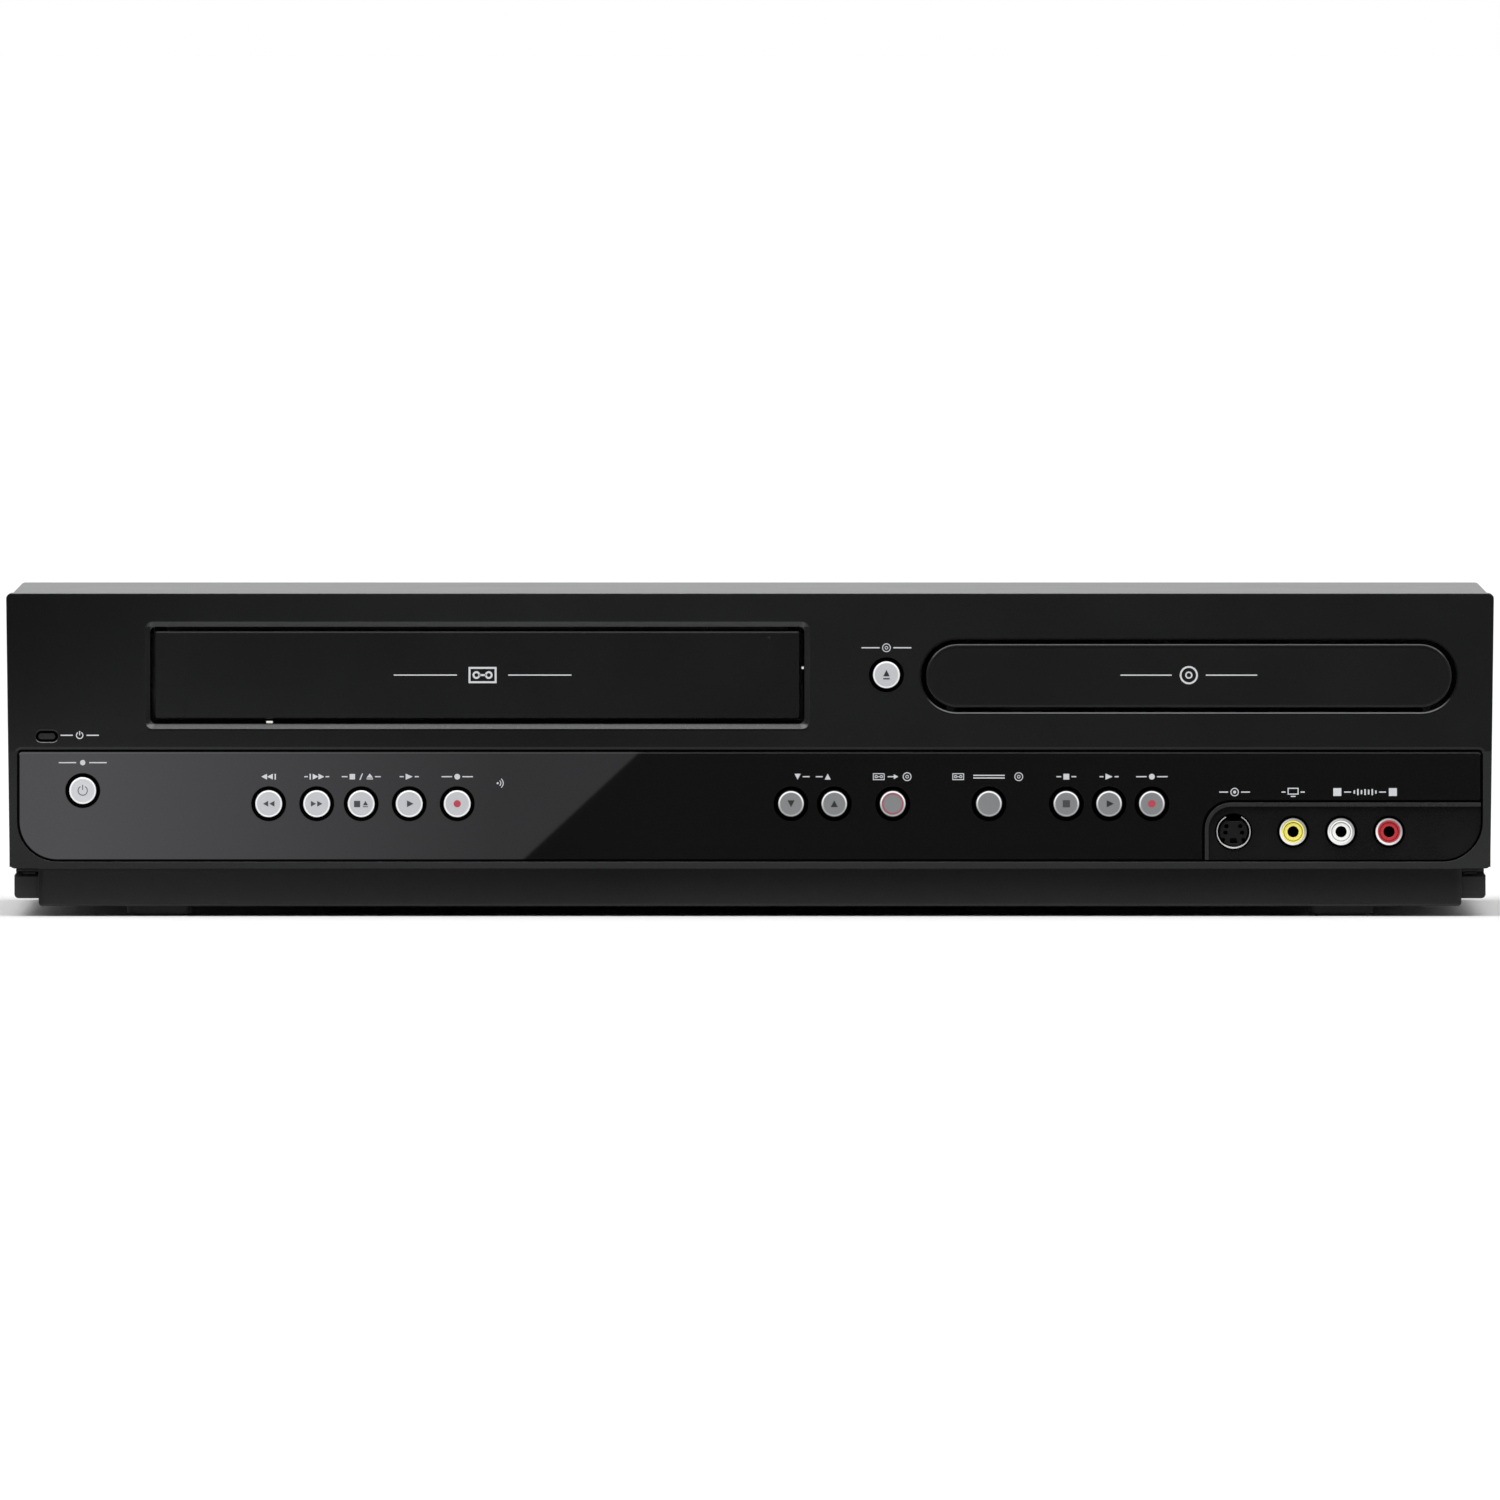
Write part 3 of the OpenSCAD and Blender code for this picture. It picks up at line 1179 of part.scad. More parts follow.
rail_top_r = 0.3;
rail_low_r = 1.3;
rail_chamfer = 0.6;
neck_set_back = 1.2;
module bottom_chassis() {
  y0 = skirt_back_y;
  y1 = rear_in_y;
  rib = 1.6;
  color("#1f2022") difference() {
    union() {
      // floor pan and side rails
      block(-rail_half_w + rail_w / 2, rail_half_w - rail_w / 2, y0, y1, pan_bottom, pan_top);
      for (side = [-1, 1]) {
        x0 = side > 0 ? rail_half_w - rail_w : -rail_half_w;
        slab(y0, y1) soft_rect(x0, x0 + rail_w, pan_bottom, rail_top, rail_top_r, rail_low_r);
        // flange inside the cover
        f = side > 0 ? flange_half_w - flange_t : -flange_half_w;
        block(f, f + flange_t, bezel_back_y + 1, y1, rail_top - eps, flange_top);
        // neck between the rail and the face
        block(f, f + flange_t, y0, bezel_back_y + 1 + eps, rail_top - eps, face_bottom - seat);
      }
      // front wall behind the skirt, and its upper part that reaches out to the flanges
      block(-rail_half_w + rail_w - 1, rail_half_w - rail_w + 1, y0, y0 + 2, pan_bottom, face_bottom - seat);
      block(-flange_half_w, flange_half_w, y0 + neck_set_back, y0 + neck_set_back + 2, rail_top - 1, face_bottom - seat);
      // crossing ribs on the pan
      for (x = [-150 : 60 : 150]) block(x, x + rib, y0 + 4, y1 - 4, pan_top - eps, pan_top + 2.4);
    }
    // chamfer along the top of each rail's front end
    translate([-face_w / 2, 0, 0]) rotate([90, 0, 90]) for (x = [0, face_w / 2 + rail_half_w - rail_w])
      translate([0, 0, x]) linear_extrude(face_w / 2 - rail_half_w + rail_w)
        polygon([[y0 - 1, rail_top - rail_chamfer - 1], [y0 + rail_chamfer + 1, rail_top + 1], [y0 - 1, rail_top + 1]]);
    // hollow undersides of the rails
    for (side = [-1, 1])
      block(side * (rail_half_w - rail_w / 2) - rail_w / 2 + 1.6, side * (rail_half_w - rail_w / 2) + rail_w / 2 - 1.6,
            y0 + 10, y1 - 10, pan_bottom - 1, rail_top - 2);
    // air slots in the pan
    for (i = [0 : 11], row = [0, 1])
      block(60 + i * 9, 64 + i * 9, 60 + row * 40, 90 + row * 40, pan_bottom - 1, pan_top + 3);
    // clearance for the parts that stand on the pan, between the ribs
    for (p = loader_legs) translate([p[0], p[1], pan_top]) cylinder(r = 4.3, h = 6);
    for (x = [deck_x0 + 8, deck_x1 - 8], y = [deck_y0 + 8, (deck_y0 + deck_y1) / 2 + 20, deck_y1 - 8])
      translate([x, y, pan_top]) cylinder(r = 4, h = 6);
    translate([capstan_x, capstan_y, pan_top]) cylinder(r = 27, h = 6);
    // holes of the feet's pegs
    for (p = foot_places) translate([p[0], p[1], pan_bottom - 1]) cylinder(r = peg_r + run_fit, h = pan_t + 5);
    // pilot holes of the side screws
    for (side = [-1, 1], y = side_screw_ys)
      rod_x(screw_r + run_fit, y, side_screw_z, side * flange_half_w - 4, side * flange_half_w + 4);
  }
}

// ---- feet ----
peg_r = 3;
front_foot_y = skirt_back_y + front_foot_gap + foot_d / 2;
rear_foot_y = rear_y - rear_foot_gap - foot_d / 2;
foot_places = [for (y = [front_foot_y, rear_foot_y], s = [-1, 1]) [s * foot_x, y]];

module foot(x, y) {
  color("#131314") translate([x, y, 0]) difference() {
    union() {
      translate([0, 0, pad_t]) linear_extrude(pan_bottom - pad_t)
        soft_rect(-foot_w / 2, foot_w / 2, -foot_d / 2, foot_d / 2, 3, 3);
      translate([0, 0, pan_bottom - eps]) cylinder(r = peg_r, h = pan_t + 1);
    }
    translate([0, 0, pad_t - 1]) cylinder(r = 1.2, h = pan_top);
  }
}
module front_feet() { for (s = [-1, 1]) foot(s * foot_x, front_foot_y); }
module rear_feet() { for (s = [-1, 1]) foot(s * foot_x, rear_foot_y); }
module foot_pads() {
  color("#2b2b2b") for (p = foot_places) translate([p[0], p[1], 0]) linear_extrude(pad_t)
    soft_rect(pad_inset - foot_w / 2, foot_w / 2 - pad_inset, pad_inset - foot_d / 2, foot_d / 2 - pad_inset, 2, 2);
}

// ---- rear panel and what it carries ----
rear_half_w = flange_half_w - seat;
rear_z0 = pan_top - 1;
gland_x = 25.5 - face_w / 2;
gland_z = 22;
gland_r = 6;
phono_columns = [-60, -44, -28, -8, 8, 24];
phono_rows = [28, 44];
aerial_xs = [-132, -108];
aerial_z = 36;
aerial_r = 4.5;
nut_r = 7;
hdmi_x = 62;
module rear_panel() {
  color("#8a8d90") difference() {
    slab(rear_in_y, rear_y) translate([-rear_half_w, rear_z0]) square([2 * rear_half_w, cover_top - cover_t - seat - rear_z0]);
    for (x = phono_columns, z = phono_rows) rod_y(phono_r + 0.3, x, z, rear_in_y - 1, rear_y + 1);
    for (x = aerial_xs) rod_y(5.1, x, aerial_z, rear_in_y - 1, rear_y + 1);
    block(hdmi_x - 7.8, hdmi_x + 7.8, rear_in_y - 1, rear_y + 1, 25, 31.4);
    rod_y(6, hdmi_x + 24, 28, rear_in_y - 1, rear_y + 1);
    rod_y(gland_r, gland_x, gland_z, rear_in_y - 1, rear_y + 1);
    for (x = rear_screw_xs) rod_y(screw_r + run_fit, x, rear_screw_z, rear_in_y - 1, rear_y + 1);
    // grille of the rear vent
    for (i = [0 : 8]) let (x = face_w / 2 - 97.5 + i * 8)
      block(x, x + 3, rear_in_y - 1, rear_y + 1, 30, 66);
  }
}

module rear_sockets() {
  block_d = 14;
  color("#4a4c50") {
    for (x = [-44, 8]) difference() {
      union() {
        block(x - 23.5, x + 23.5, rear_in_y - block_d, rear_in_y, phono_rows[0] - 8, phono_rows[1] + 8);
        for (dx = [-16, 0, 16], z = phono_rows) rod_y(phono_r, x + dx, z, rear_in_y - eps, rear_y + socket_reach);
      }
      for (dx = [-16, 0, 16], z = phono_rows) rod_y(phono_bore_r, x + dx, z, rear_in_y - 4, rear_y + socket_reach + 1);
    }
    for (x = aerial_xs) difference() {
      union() {
        block(x - 10, x + 10, rear_in_y - 22, rear_in_y, aerial_z - 14, aerial_z + 14);
        rod_y(aerial_r, x, aerial_z, rear_in_y - eps, rear_y + socket_reach);
        // threads and the nut that holds the socket to the panel
        for (i = [0 : 4]) rod_y(aerial_r + 0.25, x, aerial_z, rear_y + 3 + i * 1.2, rear_y + 3.6 + i * 1.2);
        slab(rear_y, rear_y + 2.2) translate([x, aerial_z])
          polygon([for (k = [0 : 5]) [nut_r * cos(k * 60), nut_r * sin(k * 60)]]);
      }
      rod_y(1.2, x, aerial_z, rear_in_y - 4, rear_y + socket_reach + 1);
    }
    difference() {
      block(hdmi_x - 7.5, hdmi_x + 7.5, rear_in_y - 12, rear_y + 1, 25.3, 31.1);
      block(hdmi_x - 7, hdmi_x + 7, rear_in_y - 8, rear_y + 2, 25.8, 30.6);
    }
    difference() {
      rod_y(5.6, hdmi_x + 24, 28, rear_in_y - 12, rear_y + 1);
      rod_y(4.6, hdmi_x + 24, 28, rear_in_y - 4, rear_y + 2);
    }
  }
}

module mains_gland() {
  cord_hole_r = 3.4;
  color("#161616") difference() {
    union() {
      rod_y(gland_r - run_fit, gland_x, gland_z, rear_in_y - 4, rear_y + 2);
      rod_y(gland_r + 1.6, gland_x, gland_z, rear_y, rear_y + 2.4);
      rod_y(gland_r + 1.2, gland_x, gland_z, rear_in_y - 4, rear_in_y - 1);
    }
    rod_y(cord_hole_r, gland_x, gland_z, rear_in_y - 6, rear_y + 4);
  }
}

module cover_screws() {
  shank = 5;
  color("#3a3b3d") {
    for (side = [-1, 1], y = side_screw_ys) {
      seat_x = cover_half_w - dimple_d;
      translate([side * seat_x, y, side_screw_z]) rotate([0, side * 90, 0]) {
        difference() {
          cylinder(r = screw_head_r, h = screw_head_t);
          for (a = [0, 90]) rotate(a) translate([-1.8, -0.35, 0.5]) cube([3.6, 0.7, 1]);
        }
        translate([0, 0, -shank]) cylinder(r = screw_r, h = shank + eps);
      }
    }
    for (x = rear_screw_xs) translate([x, rear_y + cover_t, rear_screw_z]) rotate([-90, 0, 0]) {
      difference() {
        cylinder(r = screw_head_r, h = screw_head_t + 0.6);
        for (a = [0, 90]) rotate(a) translate([-1.8, -0.35, 1]) cube([3.6, 0.7, 1]);
      }
      translate([0, 0, -shank]) cylinder(r = screw_r, h = shank + eps);
    }
  }
}

// ---- boards ----
standoff_h = 6;
board_z = pan_top + standoff_h;
main_x0 = 45;
main_x1 = face_w / 2 - 12.5;
main_y0 = loader_y1 + 6;
main_y1 = rear_in_y - 3;
module main_board() {
  color("#2f6b3c") {
    difference() {
      union() {
        block(main_x0, main_x1, main_y0, main_y1, board_z, board_z + board_t);
        for (x = [main_x0 + 6, main_x1 - 6], y = [main_y0 + 6, main_y1 - 6])
          translate([x, y, pan_top]) cylinder(r = 3, h = standoff_h + eps);
      }
      for (x = [main_x0 + 6, main_x1 - 6], y = [main_y0 + 6, main_y1 - 6])
        translate([x, y, pan_top - 1]) cylinder(r = 1.3, h = 12);
    }
    top = board_z + board_t - eps;
    // processor, memories, heat sink fins and capacitors
    block(main_x0 + 50, main_x0 + 78, main_y0 + 40, main_y0 + 68, top, top + 2.4);
    for (i = [0 : 1]) block(main_x0 + 88, main_x0 + 110, main_y0 + 38 + i * 18, main_y0 + 50 + i * 18, top, top + 1.6);
    for (i = [0 : 6]) block(main_x0 + 51 + i * 4, main_x0 + 52.4 + i * 4, main_y0 + 41, main_y0 + 67, top + 2.3, top + 14);
    for (i = [0 : 5]) translate([main_x0 + 14, main_y0 + 22 + i * 12, top]) cylinder(r = 3.5, h = 11);
  }
}

power_x0 = 12.5 - face_w / 2;
power_x1 = -14;
power_y0 = deck_y1 + 4;
socket_room = 24;
power_y1 = rear_in_y - socket_room;
transformer_dx = 74;
transformer_dy = 20;
module power_board() {
  top = board_z + board_t - eps;
  color("#8a6a3a") {
    difference() {
      union() {
        block(power_x0, power_x1, power_y0, power_y1, board_z, board_z + board_t);
        for (x = [power_x0 + 6, power_x1 - 6], y = [power_y0 + 6, power_y1 - 6])
          translate([x, y, pan_top]) cylinder(r = 3, h = standoff_h + eps);
      }
      for (x = [power_x0 + 6, power_x1 - 6], y = [power_y0 + 6, power_y1 - 6])
        translate([x, y, pan_top - 1]) cylinder(r = 1.3, h = 12);
    }
    // large and small capacitors, a choke and a finned heat sink
    translate([power_x0 + 34, power_y0 + 20, top]) cylinder(r = 11, h = 34);
    for (i = [0 : 5]) translate([power_x0 + 112 + i * 12, power_y0 + 12, top]) cylinder(r = 4.5, h = 16);
    translate([power_x0 + 14, power_y0 + 22, top]) cylinder(r = 7, h = 14);
    for (i = [0 : 8]) block(power_x0 + 112 + i * 7, power_x0 + 114 + i * 7, power_y0 + 24, power_y0 + 34, top, top + 32);
    block(power_x0 + 112, power_x0 + 170, power_y0 + 34 - eps, power_y0 + 36.4, top, top + 32);
  }
}

module transformer() {
  x = power_x0 + transformer_dx;
  y = power_y0 + transformer_dy;
  base = board_z + board_t;
  color("#5a5348") {
    block(x - 17, x + 17, y - 14, y + 14, base, base + 3);
    difference() {
      block(x - 17, x + 17, y - 6, y + 6, base + 3 - eps, base + 30);
      block(x - 12, x + 12, y - 7, y + 7, base + 8, base + 25);
    }
    translate([x, y, base + 7.9]) cylinder(r = 11, h = 17.2);
  }
}

// ---- which part is drawn ----
front_bezel();
control_panel();
jack_bay();
power_lens();
top_cover();
bottom_chassis();
rear_panel();
front_feet();
rear_feet();
foot_pads();
cassette_door();
door_spring();
disc_tray();
tray_front();
display_module();
ir_receiver();
front_boards();
tact_switches();
svideo_shell();
svideo_insert();
phono_shells();
phono_insert(0, "#d9b71e");  // phono_insert_yellow
phono_insert(1, "#eceae4");  // phono_insert_white
phono_insert(2, "#a3121c");  // phono_insert_red
deck_chassis();
cassette_holder();
drum_base();
head_drum();
capstan_flywheel();
pinch_roller();
reel(mouth_x - reel_dx);  // supply_reel
reel(mouth_x + reel_dx);  // takeup_reel
deck_motor();
loader_frame();
tray_gear();
spindle_turntable();
optical_pickup();
traverse_unit();
clamp_bridge();
clamp_puck();
main_board();
power_board();
transformer();
rear_sockets();
mains_gland();
cover_screws();
for (b = BUTTONS) button(b[1], b[2]);
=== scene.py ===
import json
import math

import bmesh
import bpy
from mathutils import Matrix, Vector


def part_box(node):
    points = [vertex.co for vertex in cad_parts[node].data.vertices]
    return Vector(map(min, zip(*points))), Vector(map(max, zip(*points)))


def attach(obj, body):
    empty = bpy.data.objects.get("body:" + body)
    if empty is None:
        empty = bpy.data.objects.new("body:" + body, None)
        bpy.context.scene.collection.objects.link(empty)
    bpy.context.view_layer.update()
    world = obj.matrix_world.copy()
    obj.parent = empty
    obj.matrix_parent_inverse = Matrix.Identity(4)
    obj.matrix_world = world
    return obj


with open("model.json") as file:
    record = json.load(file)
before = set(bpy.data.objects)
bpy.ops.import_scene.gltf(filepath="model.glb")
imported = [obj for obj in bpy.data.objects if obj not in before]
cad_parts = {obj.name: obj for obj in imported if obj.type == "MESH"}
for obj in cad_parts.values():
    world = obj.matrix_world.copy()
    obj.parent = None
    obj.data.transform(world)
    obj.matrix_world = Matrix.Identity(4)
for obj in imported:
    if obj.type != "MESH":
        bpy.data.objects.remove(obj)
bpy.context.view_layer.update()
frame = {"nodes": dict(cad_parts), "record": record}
MM = 0.001


def middle(node):
    """The middle of a CAD piece's box, in millimetres."""
    low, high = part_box(node)
    return [(low[i] + high[i]) / 2 / MM for i in range(3)]


# ---- places on the player, in millimetres; a pair is (x, z) ----
FACE_Y = -164.0            # front of the cabinet's face
PANEL_LEFT, PANEL_RIGHT = -213.9, 213.9
PANEL_LOW, PANEL_HIGH = 16.4, 48.2
PANEL_LOW_R, PANEL_HIGH_R = 11.4, 1.0
SKIRT_TOP = 14.1           # under this height the front steps back to its skirt
MOUTH_X, MOUTH_HALF_W = -79.75, 95.55
MOUTH_LOW, MOUTH_HIGH, MOUTH_BEVEL = 56.44, 84.66, 1.6
DOOR_TOP = 83.36
SLOT_LOW, SLOT_HIGH = (50.0, 59.82), (206.6, 80.88)    # corners of the drawer's opening
BAY_LEFT, BAY_TOP, BAY_R = 132.8, 33.5, 7.9
LENS_MID, LENS_HALF = (-205.6, 52.7), (3.15, 1.55)     # the power light's window
BOARD_TOP = 14.8           # upper face of the two boards on the chassis
JACK_Z = 24.8              # height of the front sockets
SVIDEO_X = middle("svideo_insert")[0]
PHONO_X = middle("phono_insert_yellow")[0]
PHONO_PITCH = middle("phono_insert_white")[0] - PHONO_X
PHONO_DISC_R = 3.25
FAR = 500.0                # past every edge of the player
# the rear sockets: the outer face of the rear panel, then places as a middle and a half distance
REAR_PANEL_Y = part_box("rear_sockets")[1][1] / MM - 9.0
REAR_ROWS = (36.0, 8.0)
REAR_HALF = 26.0
REAR_COLUMNS = [(-2.0, (0.80, 0.58, 0.03)), (-18.0, (0.80, 0.80, 0.78)), (-34.0, (0.55, 0.012, 0.02))]
REAR_RIM_R, REAR_DISC_R, AERIAL_R = 4.5, 2.8, 7.2
AERIAL_PAIR, AERIAL_Z = (-120.0, 12.0), 36.0


# ---- camera: a very long lens, a little above the player's top ----
CAMERA_DISTANCE = 20.10    # metres in front of the face
CAMERA_HEIGHT = 0.3145
AIM = Vector((0.0, FACE_Y * MM, 0.0487))
camera_data = bpy.data.cameras.new("camera")
camera_data.lens = 1650.0
camera_data.sensor_width = 36.0
camera_data.clip_start = 1.0
camera_data.clip_end = 100.0
camera = bpy.data.objects.new("camera", camera_data)
bpy.context.scene.collection.objects.link(camera)
camera.location = (0.0, FACE_Y * MM - CAMERA_DISTANCE, CAMERA_HEIGHT)
camera.rotation_euler = (AIM - camera.location).to_track_quat("-Z", "Y").to_euler()
bpy.context.scene.camera = camera
bpy.context.scene.view_settings.view_transform = "Standard"


# ---- node helpers ----
NOISE_RANGE = (0.3, 0.7)   # most of a noise texture's values lie between these


class Shader:
    """A material being built: add() makes a node, join() links two sockets."""

    def __init__(self, name):
        self.material = bpy.data.materials.new(name)
        self.material.use_nodes = True
        self.nodes = self.material.node_tree.nodes
        self.links = self.material.node_tree.links
        self.surface = self.nodes["Principled BSDF"]
        self.place = self.add("ShaderNodeTexCoord").outputs["Object"]

    def add(self, kind, values=None, **settings):
        node = self.nodes.new(kind)
        for key, value in settings.items():
            setattr(node, key, value)
        for key, value in (values or {}).items():
            node.inputs[key].default_value = value
        return node

    def join(self, source, target):
        self.links.new(source, target)

    def paint(self, key, source):
        self.join(source, self.surface.inputs[key])

    def constant(self, key, value):
        self.surface.inputs[key].default_value = value

    def math(self, operation, a, b=None):
        node = self.add("ShaderNodeMath", operation=operation)
        for i, value in enumerate((a, b)):
            if value is None:
                continue
            if isinstance(value, (int, float)):
                node.inputs[i].default_value = value
            else:
                self.join(value, node.inputs[i])
        return node.outputs[0]

    def split(self, vector):
        parts = self.add("ShaderNodeSeparateXYZ")
        self.join(vector, parts.inputs[0])
        return parts.outputs

    def stretch(self, scale):
        """The object's own coordinates, multiplied along each axis."""
        mapping = self.add("ShaderNodeMapping", {"Scale": scale})
        self.join(self.place, mapping.inputs["Vector"])
        return mapping.outputs[0]

    def place_mm(self):
        """X, Y and Z of the shaded point, in millimetres."""
        return self.split(self.stretch((1 / MM, 1 / MM, 1 / MM)))

    def noise(self, size_mm, detail=2.0, rough=0.5, along=None):
        """Noise whose spots are size_mm across; along stretches it."""
        node = self.add("ShaderNodeTexNoise",
                        {"Scale": 1.0 / (size_mm * MM), "Detail": detail, "Roughness": rough})
        self.join(self.stretch(along) if along else self.place, node.inputs["Vector"])
        return node.outputs["Fac"]

    def span(self, value, low, high, to_low, to_high):
        node = self.add("ShaderNodeMapRange",
                        {"From Min": low, "From Max": high, "To Min": to_low, "To Max": to_high})
        self.join(value, node.inputs["Value"])
        return node.outputs[0]

    def ramp(self, value, start, full):
        """0 up to start, 1 from full on; start may be the larger of the two."""
        return self.span(value, start, full, 0.0, 1.0)

    def cloud(self, size_mm, low=0.0, high=1.0, detail=2.0, rough=0.5):
        """Noise spread between two values."""
        return self.span(self.noise(size_mm, detail, rough), *NOISE_RANGE, low, high)

    def all_of(self, *masks):
        product = masks[0]
        for mask in masks[1:]:
            product = self.math("MULTIPLY", product, mask)
        return product

    def any_of(self, *masks):
        most = masks[0]
        for mask in masks[1:]:
            most = self.math("MAXIMUM", most, mask)
        return most

    def between(self, value, low, high, soft=0.1):
        """1 where value lies between low and high, fading out over soft beyond them."""
        return self.all_of(self.ramp(value, low - soft, low), self.ramp(value, high + soft, high))

    def apart(self, value, centre):
        return self.math("ABSOLUTE", self.math("SUBTRACT", value, centre))

    def length(self, a, b):
        return self.math("SQRT", self.math("ADD", self.math("MULTIPLY", a, a), self.math("MULTIPLY", b, b)))

    def outside_of(self, x, z, low, high, r):
        """Distance outside a rectangle with rounded corners, seen from the front; negative inside it."""
        q = [self.math("SUBTRACT", self.apart(value, (lo + hi) / 2), (hi - lo) / 2 - r)
             for value, lo, hi in ((x, low[0], high[0]), (z, low[1], high[1]))]
        corner = self.length(self.math("MAXIMUM", q[0], 0.0), self.math("MAXIMUM", q[1], 0.0))
        side = self.math("MINIMUM", self.math("MAXIMUM", q[0], q[1]), 0.0)
        return self.math("SUBTRACT", self.math("ADD", corner, side), r)

    def mix(self, factor, a, b):
        node = self.add("ShaderNodeMix", data_type="RGBA")
        self.join(factor, node.inputs["Factor"])
        for key, value in (("A", a), ("B", b)):
            socket = [s for s in node.inputs if s.name == key and s.type == "RGBA"][0]
            if isinstance(value, tuple):
                socket.default_value = (*value, 1.0)
            else:
                self.join(value, socket)
        return [s for s in node.outputs if s.type == "RGBA"][0]

    def edges(self, radius_mm):
        """A softened normal, and a mask that is 1 on sharp edges."""
        bevel = self.add("ShaderNodeBevel", {"Radius": radius_mm * MM}, samples=4)
        geometry = self.add("ShaderNodeNewGeometry")
        dot_product = self.add("ShaderNodeVectorMath", operation="DOT_PRODUCT")
        self.join(bevel.outputs[0], dot_product.inputs[0])
        self.join(geometry.outputs["True Normal"], dot_product.inputs[1])
        return bevel.outputs[0], self.ramp(dot_product.outputs["Value"], 0.995, 0.85)

    def bump(self, height, depth_mm, normal=None):
        node = self.add("ShaderNodeBump", {"Strength": 1.0, "Distance": depth_mm * MM})
        self.join(height, node.inputs["Height"])
        if normal:
            self.join(normal, node.inputs["Normal"])
        self.paint("Normal", node.outputs[0])


def scaled(colour, k):
    return tuple(min(c * k, 1.0) for c in colour)


# ---- kinds of finish; sizes of spots in millimetres ----
CLOUD_MM, WEAR_AND_SHEEN_MM, SPECK_MM, SMEAR_MM = 38.0, 6.0, 0.9, 17.0
DUST_COLOUR = (0.32, 0.31, 0.29)
DULL_SPECULAR = 0.04       # of places that a trim makes dull
LEAST_ROUGH = 0.02


def finish_of(name, colour, rough, metal=0.0, specular=0.5, coat=0.0, coat_rough=0.06, mottle=0.12,
              rough_vary=0.06, grain_mm=0.3, grain_depth=0.006, edge_mm=0.25, edge_wear_sheen_gain=1.6, along=None,
              dust=0.25, trim=None):
    """A moulded, painted or plated finish: cloudy colour, fine grain, edges painted paler both as a rubbed
    finish and as a painted highlight, and a little dust.
    trim(s, x, y, z, colour) may paint light and shade on places of it, and gives the new colour and a mask
    of what is dull."""
    s = Shader(name)
    fine = s.noise(grain_mm, 2.0, 0.6, along)
    body = s.mix(s.cloud(CLOUD_MM, detail=3.0, rough=0.55),
                 scaled(colour, 1 - mottle), scaled(colour, 1 + mottle))
    soft, mask = s.edges(edge_mm)
    # edges are painted paler, partly as rubbed finish and partly as a painted highlight
    wear_and_sheen = s.all_of(mask, s.span(s.noise(WEAR_AND_SHEEN_MM), 0.35, 0.65, 0.35, 1.0))
    worn_and_sheened = s.mix(wear_and_sheen, body, scaled(colour, edge_wear_sheen_gain))
    # dust settles on what faces up
    up = s.ramp(s.split(s.add("ShaderNodeNewGeometry").outputs["Normal"])["Z"], 0.6, 1.0)
    specks = s.span(s.noise(SPECK_MM, 1.0, 0.7), 0.62, 0.72, 0.0, dust)
    final = s.mix(s.all_of(up, specks), worn_and_sheened, DUST_COLOUR)
    s.constant("Specular IOR Level", specular)
    s.constant("Coat Weight", coat)
    if trim:
        final, dull = trim(s, *s.place_mm(), final)
        s.paint("Specular IOR Level", s.span(dull, 0.0, 1.0, specular, DULL_SPECULAR))
        s.paint("Coat Weight", s.span(dull, 0.0, 1.0, coat, 0.0))
    s.paint("Base Color", final)
    smear = s.math("ADD", s.noise(SMEAR_MM, 4.0, 0.65), s.math("MULTIPLY", fine, 0.5))
    s.paint("Roughness", s.span(smear, 0.45, 1.05,
                                max(rough - rough_vary, LEAST_ROUGH), rough + rough_vary))
    s.bump(fine, grain_depth, soft)
    s.constant("Metallic", metal)
    s.constant("Coat Roughness", coat_rough)
    return s.material


def board_finish(name, mask_colour, trace_colour, top=None):
    """A printed circuit board: solder resist over a net of tracks, with tinned pads.
    What stands above the height top, in millimetres, is a black or grey component."""
    s = Shader(name)
    tracks = s.add("ShaderNodeTexBrick", {
        "Scale": 60.0, "Mortar Size": 0.035, "Color1": (0.0, 0.0, 0.0, 1.0),
        "Color2": (0.0, 0.0, 0.0, 1.0), "Mortar": (1.0, 1.0, 1.0, 1.0)})
    s.join(s.place, tracks.inputs["Vector"])
    pads = s.add("ShaderNodeTexVoronoi", {"Scale": 260.0})
    s.join(s.place, pads.inputs["Vector"])
    pad_mask = s.ramp(pads.outputs["Distance"], 0.22, 0.16)
    tint = s.mix(s.cloud(25.0), scaled(mask_colour, 0.8), scaled(mask_colour, 1.2))
    tracked = s.mix(tracks.outputs["Color"], tint, trace_colour)
    padded = s.mix(pad_mask, tracked, (0.55, 0.55, 0.52))
    if top:
        parts = s.mix(s.ramp(s.noise(16.0), 0.5, 0.53), (0.014, 0.014, 0.015), (0.07, 0.07, 0.075))
        padded = s.mix(s.ramp(s.place_mm()[2], top + 0.05, top + 0.15), padded, parts)
    s.paint("Base Color", padded)
    s.paint("Roughness", s.span(pad_mask, 0.0, 1.0, 0.38, 0.22))
    s.bump(s.math("ADD", pad_mask, s.noise(1.2)), 0.05)
    return s.material


def winding_finish(name, colour):
    """Enamelled wire laid in close turns, with the colour painted darker between the turns as shade."""
    s = Shader(name)
    turns = s.add("ShaderNodeTexWave", {"Scale": 620.0, "Distortion": 0.6},
                  wave_type="BANDS", bands_direction="Z")
    s.join(s.place, turns.inputs["Vector"])
    s.paint("Base Color", s.mix(turns.outputs["Fac"], scaled(colour, 0.45), scaled(colour, 1.1)))
    s.paint("Roughness", s.cloud(4.0, 0.25, 0.45))
    s.constant("Metallic", 0.7)
    s.bump(turns.outputs["Fac"], 0.2)
    return s.material


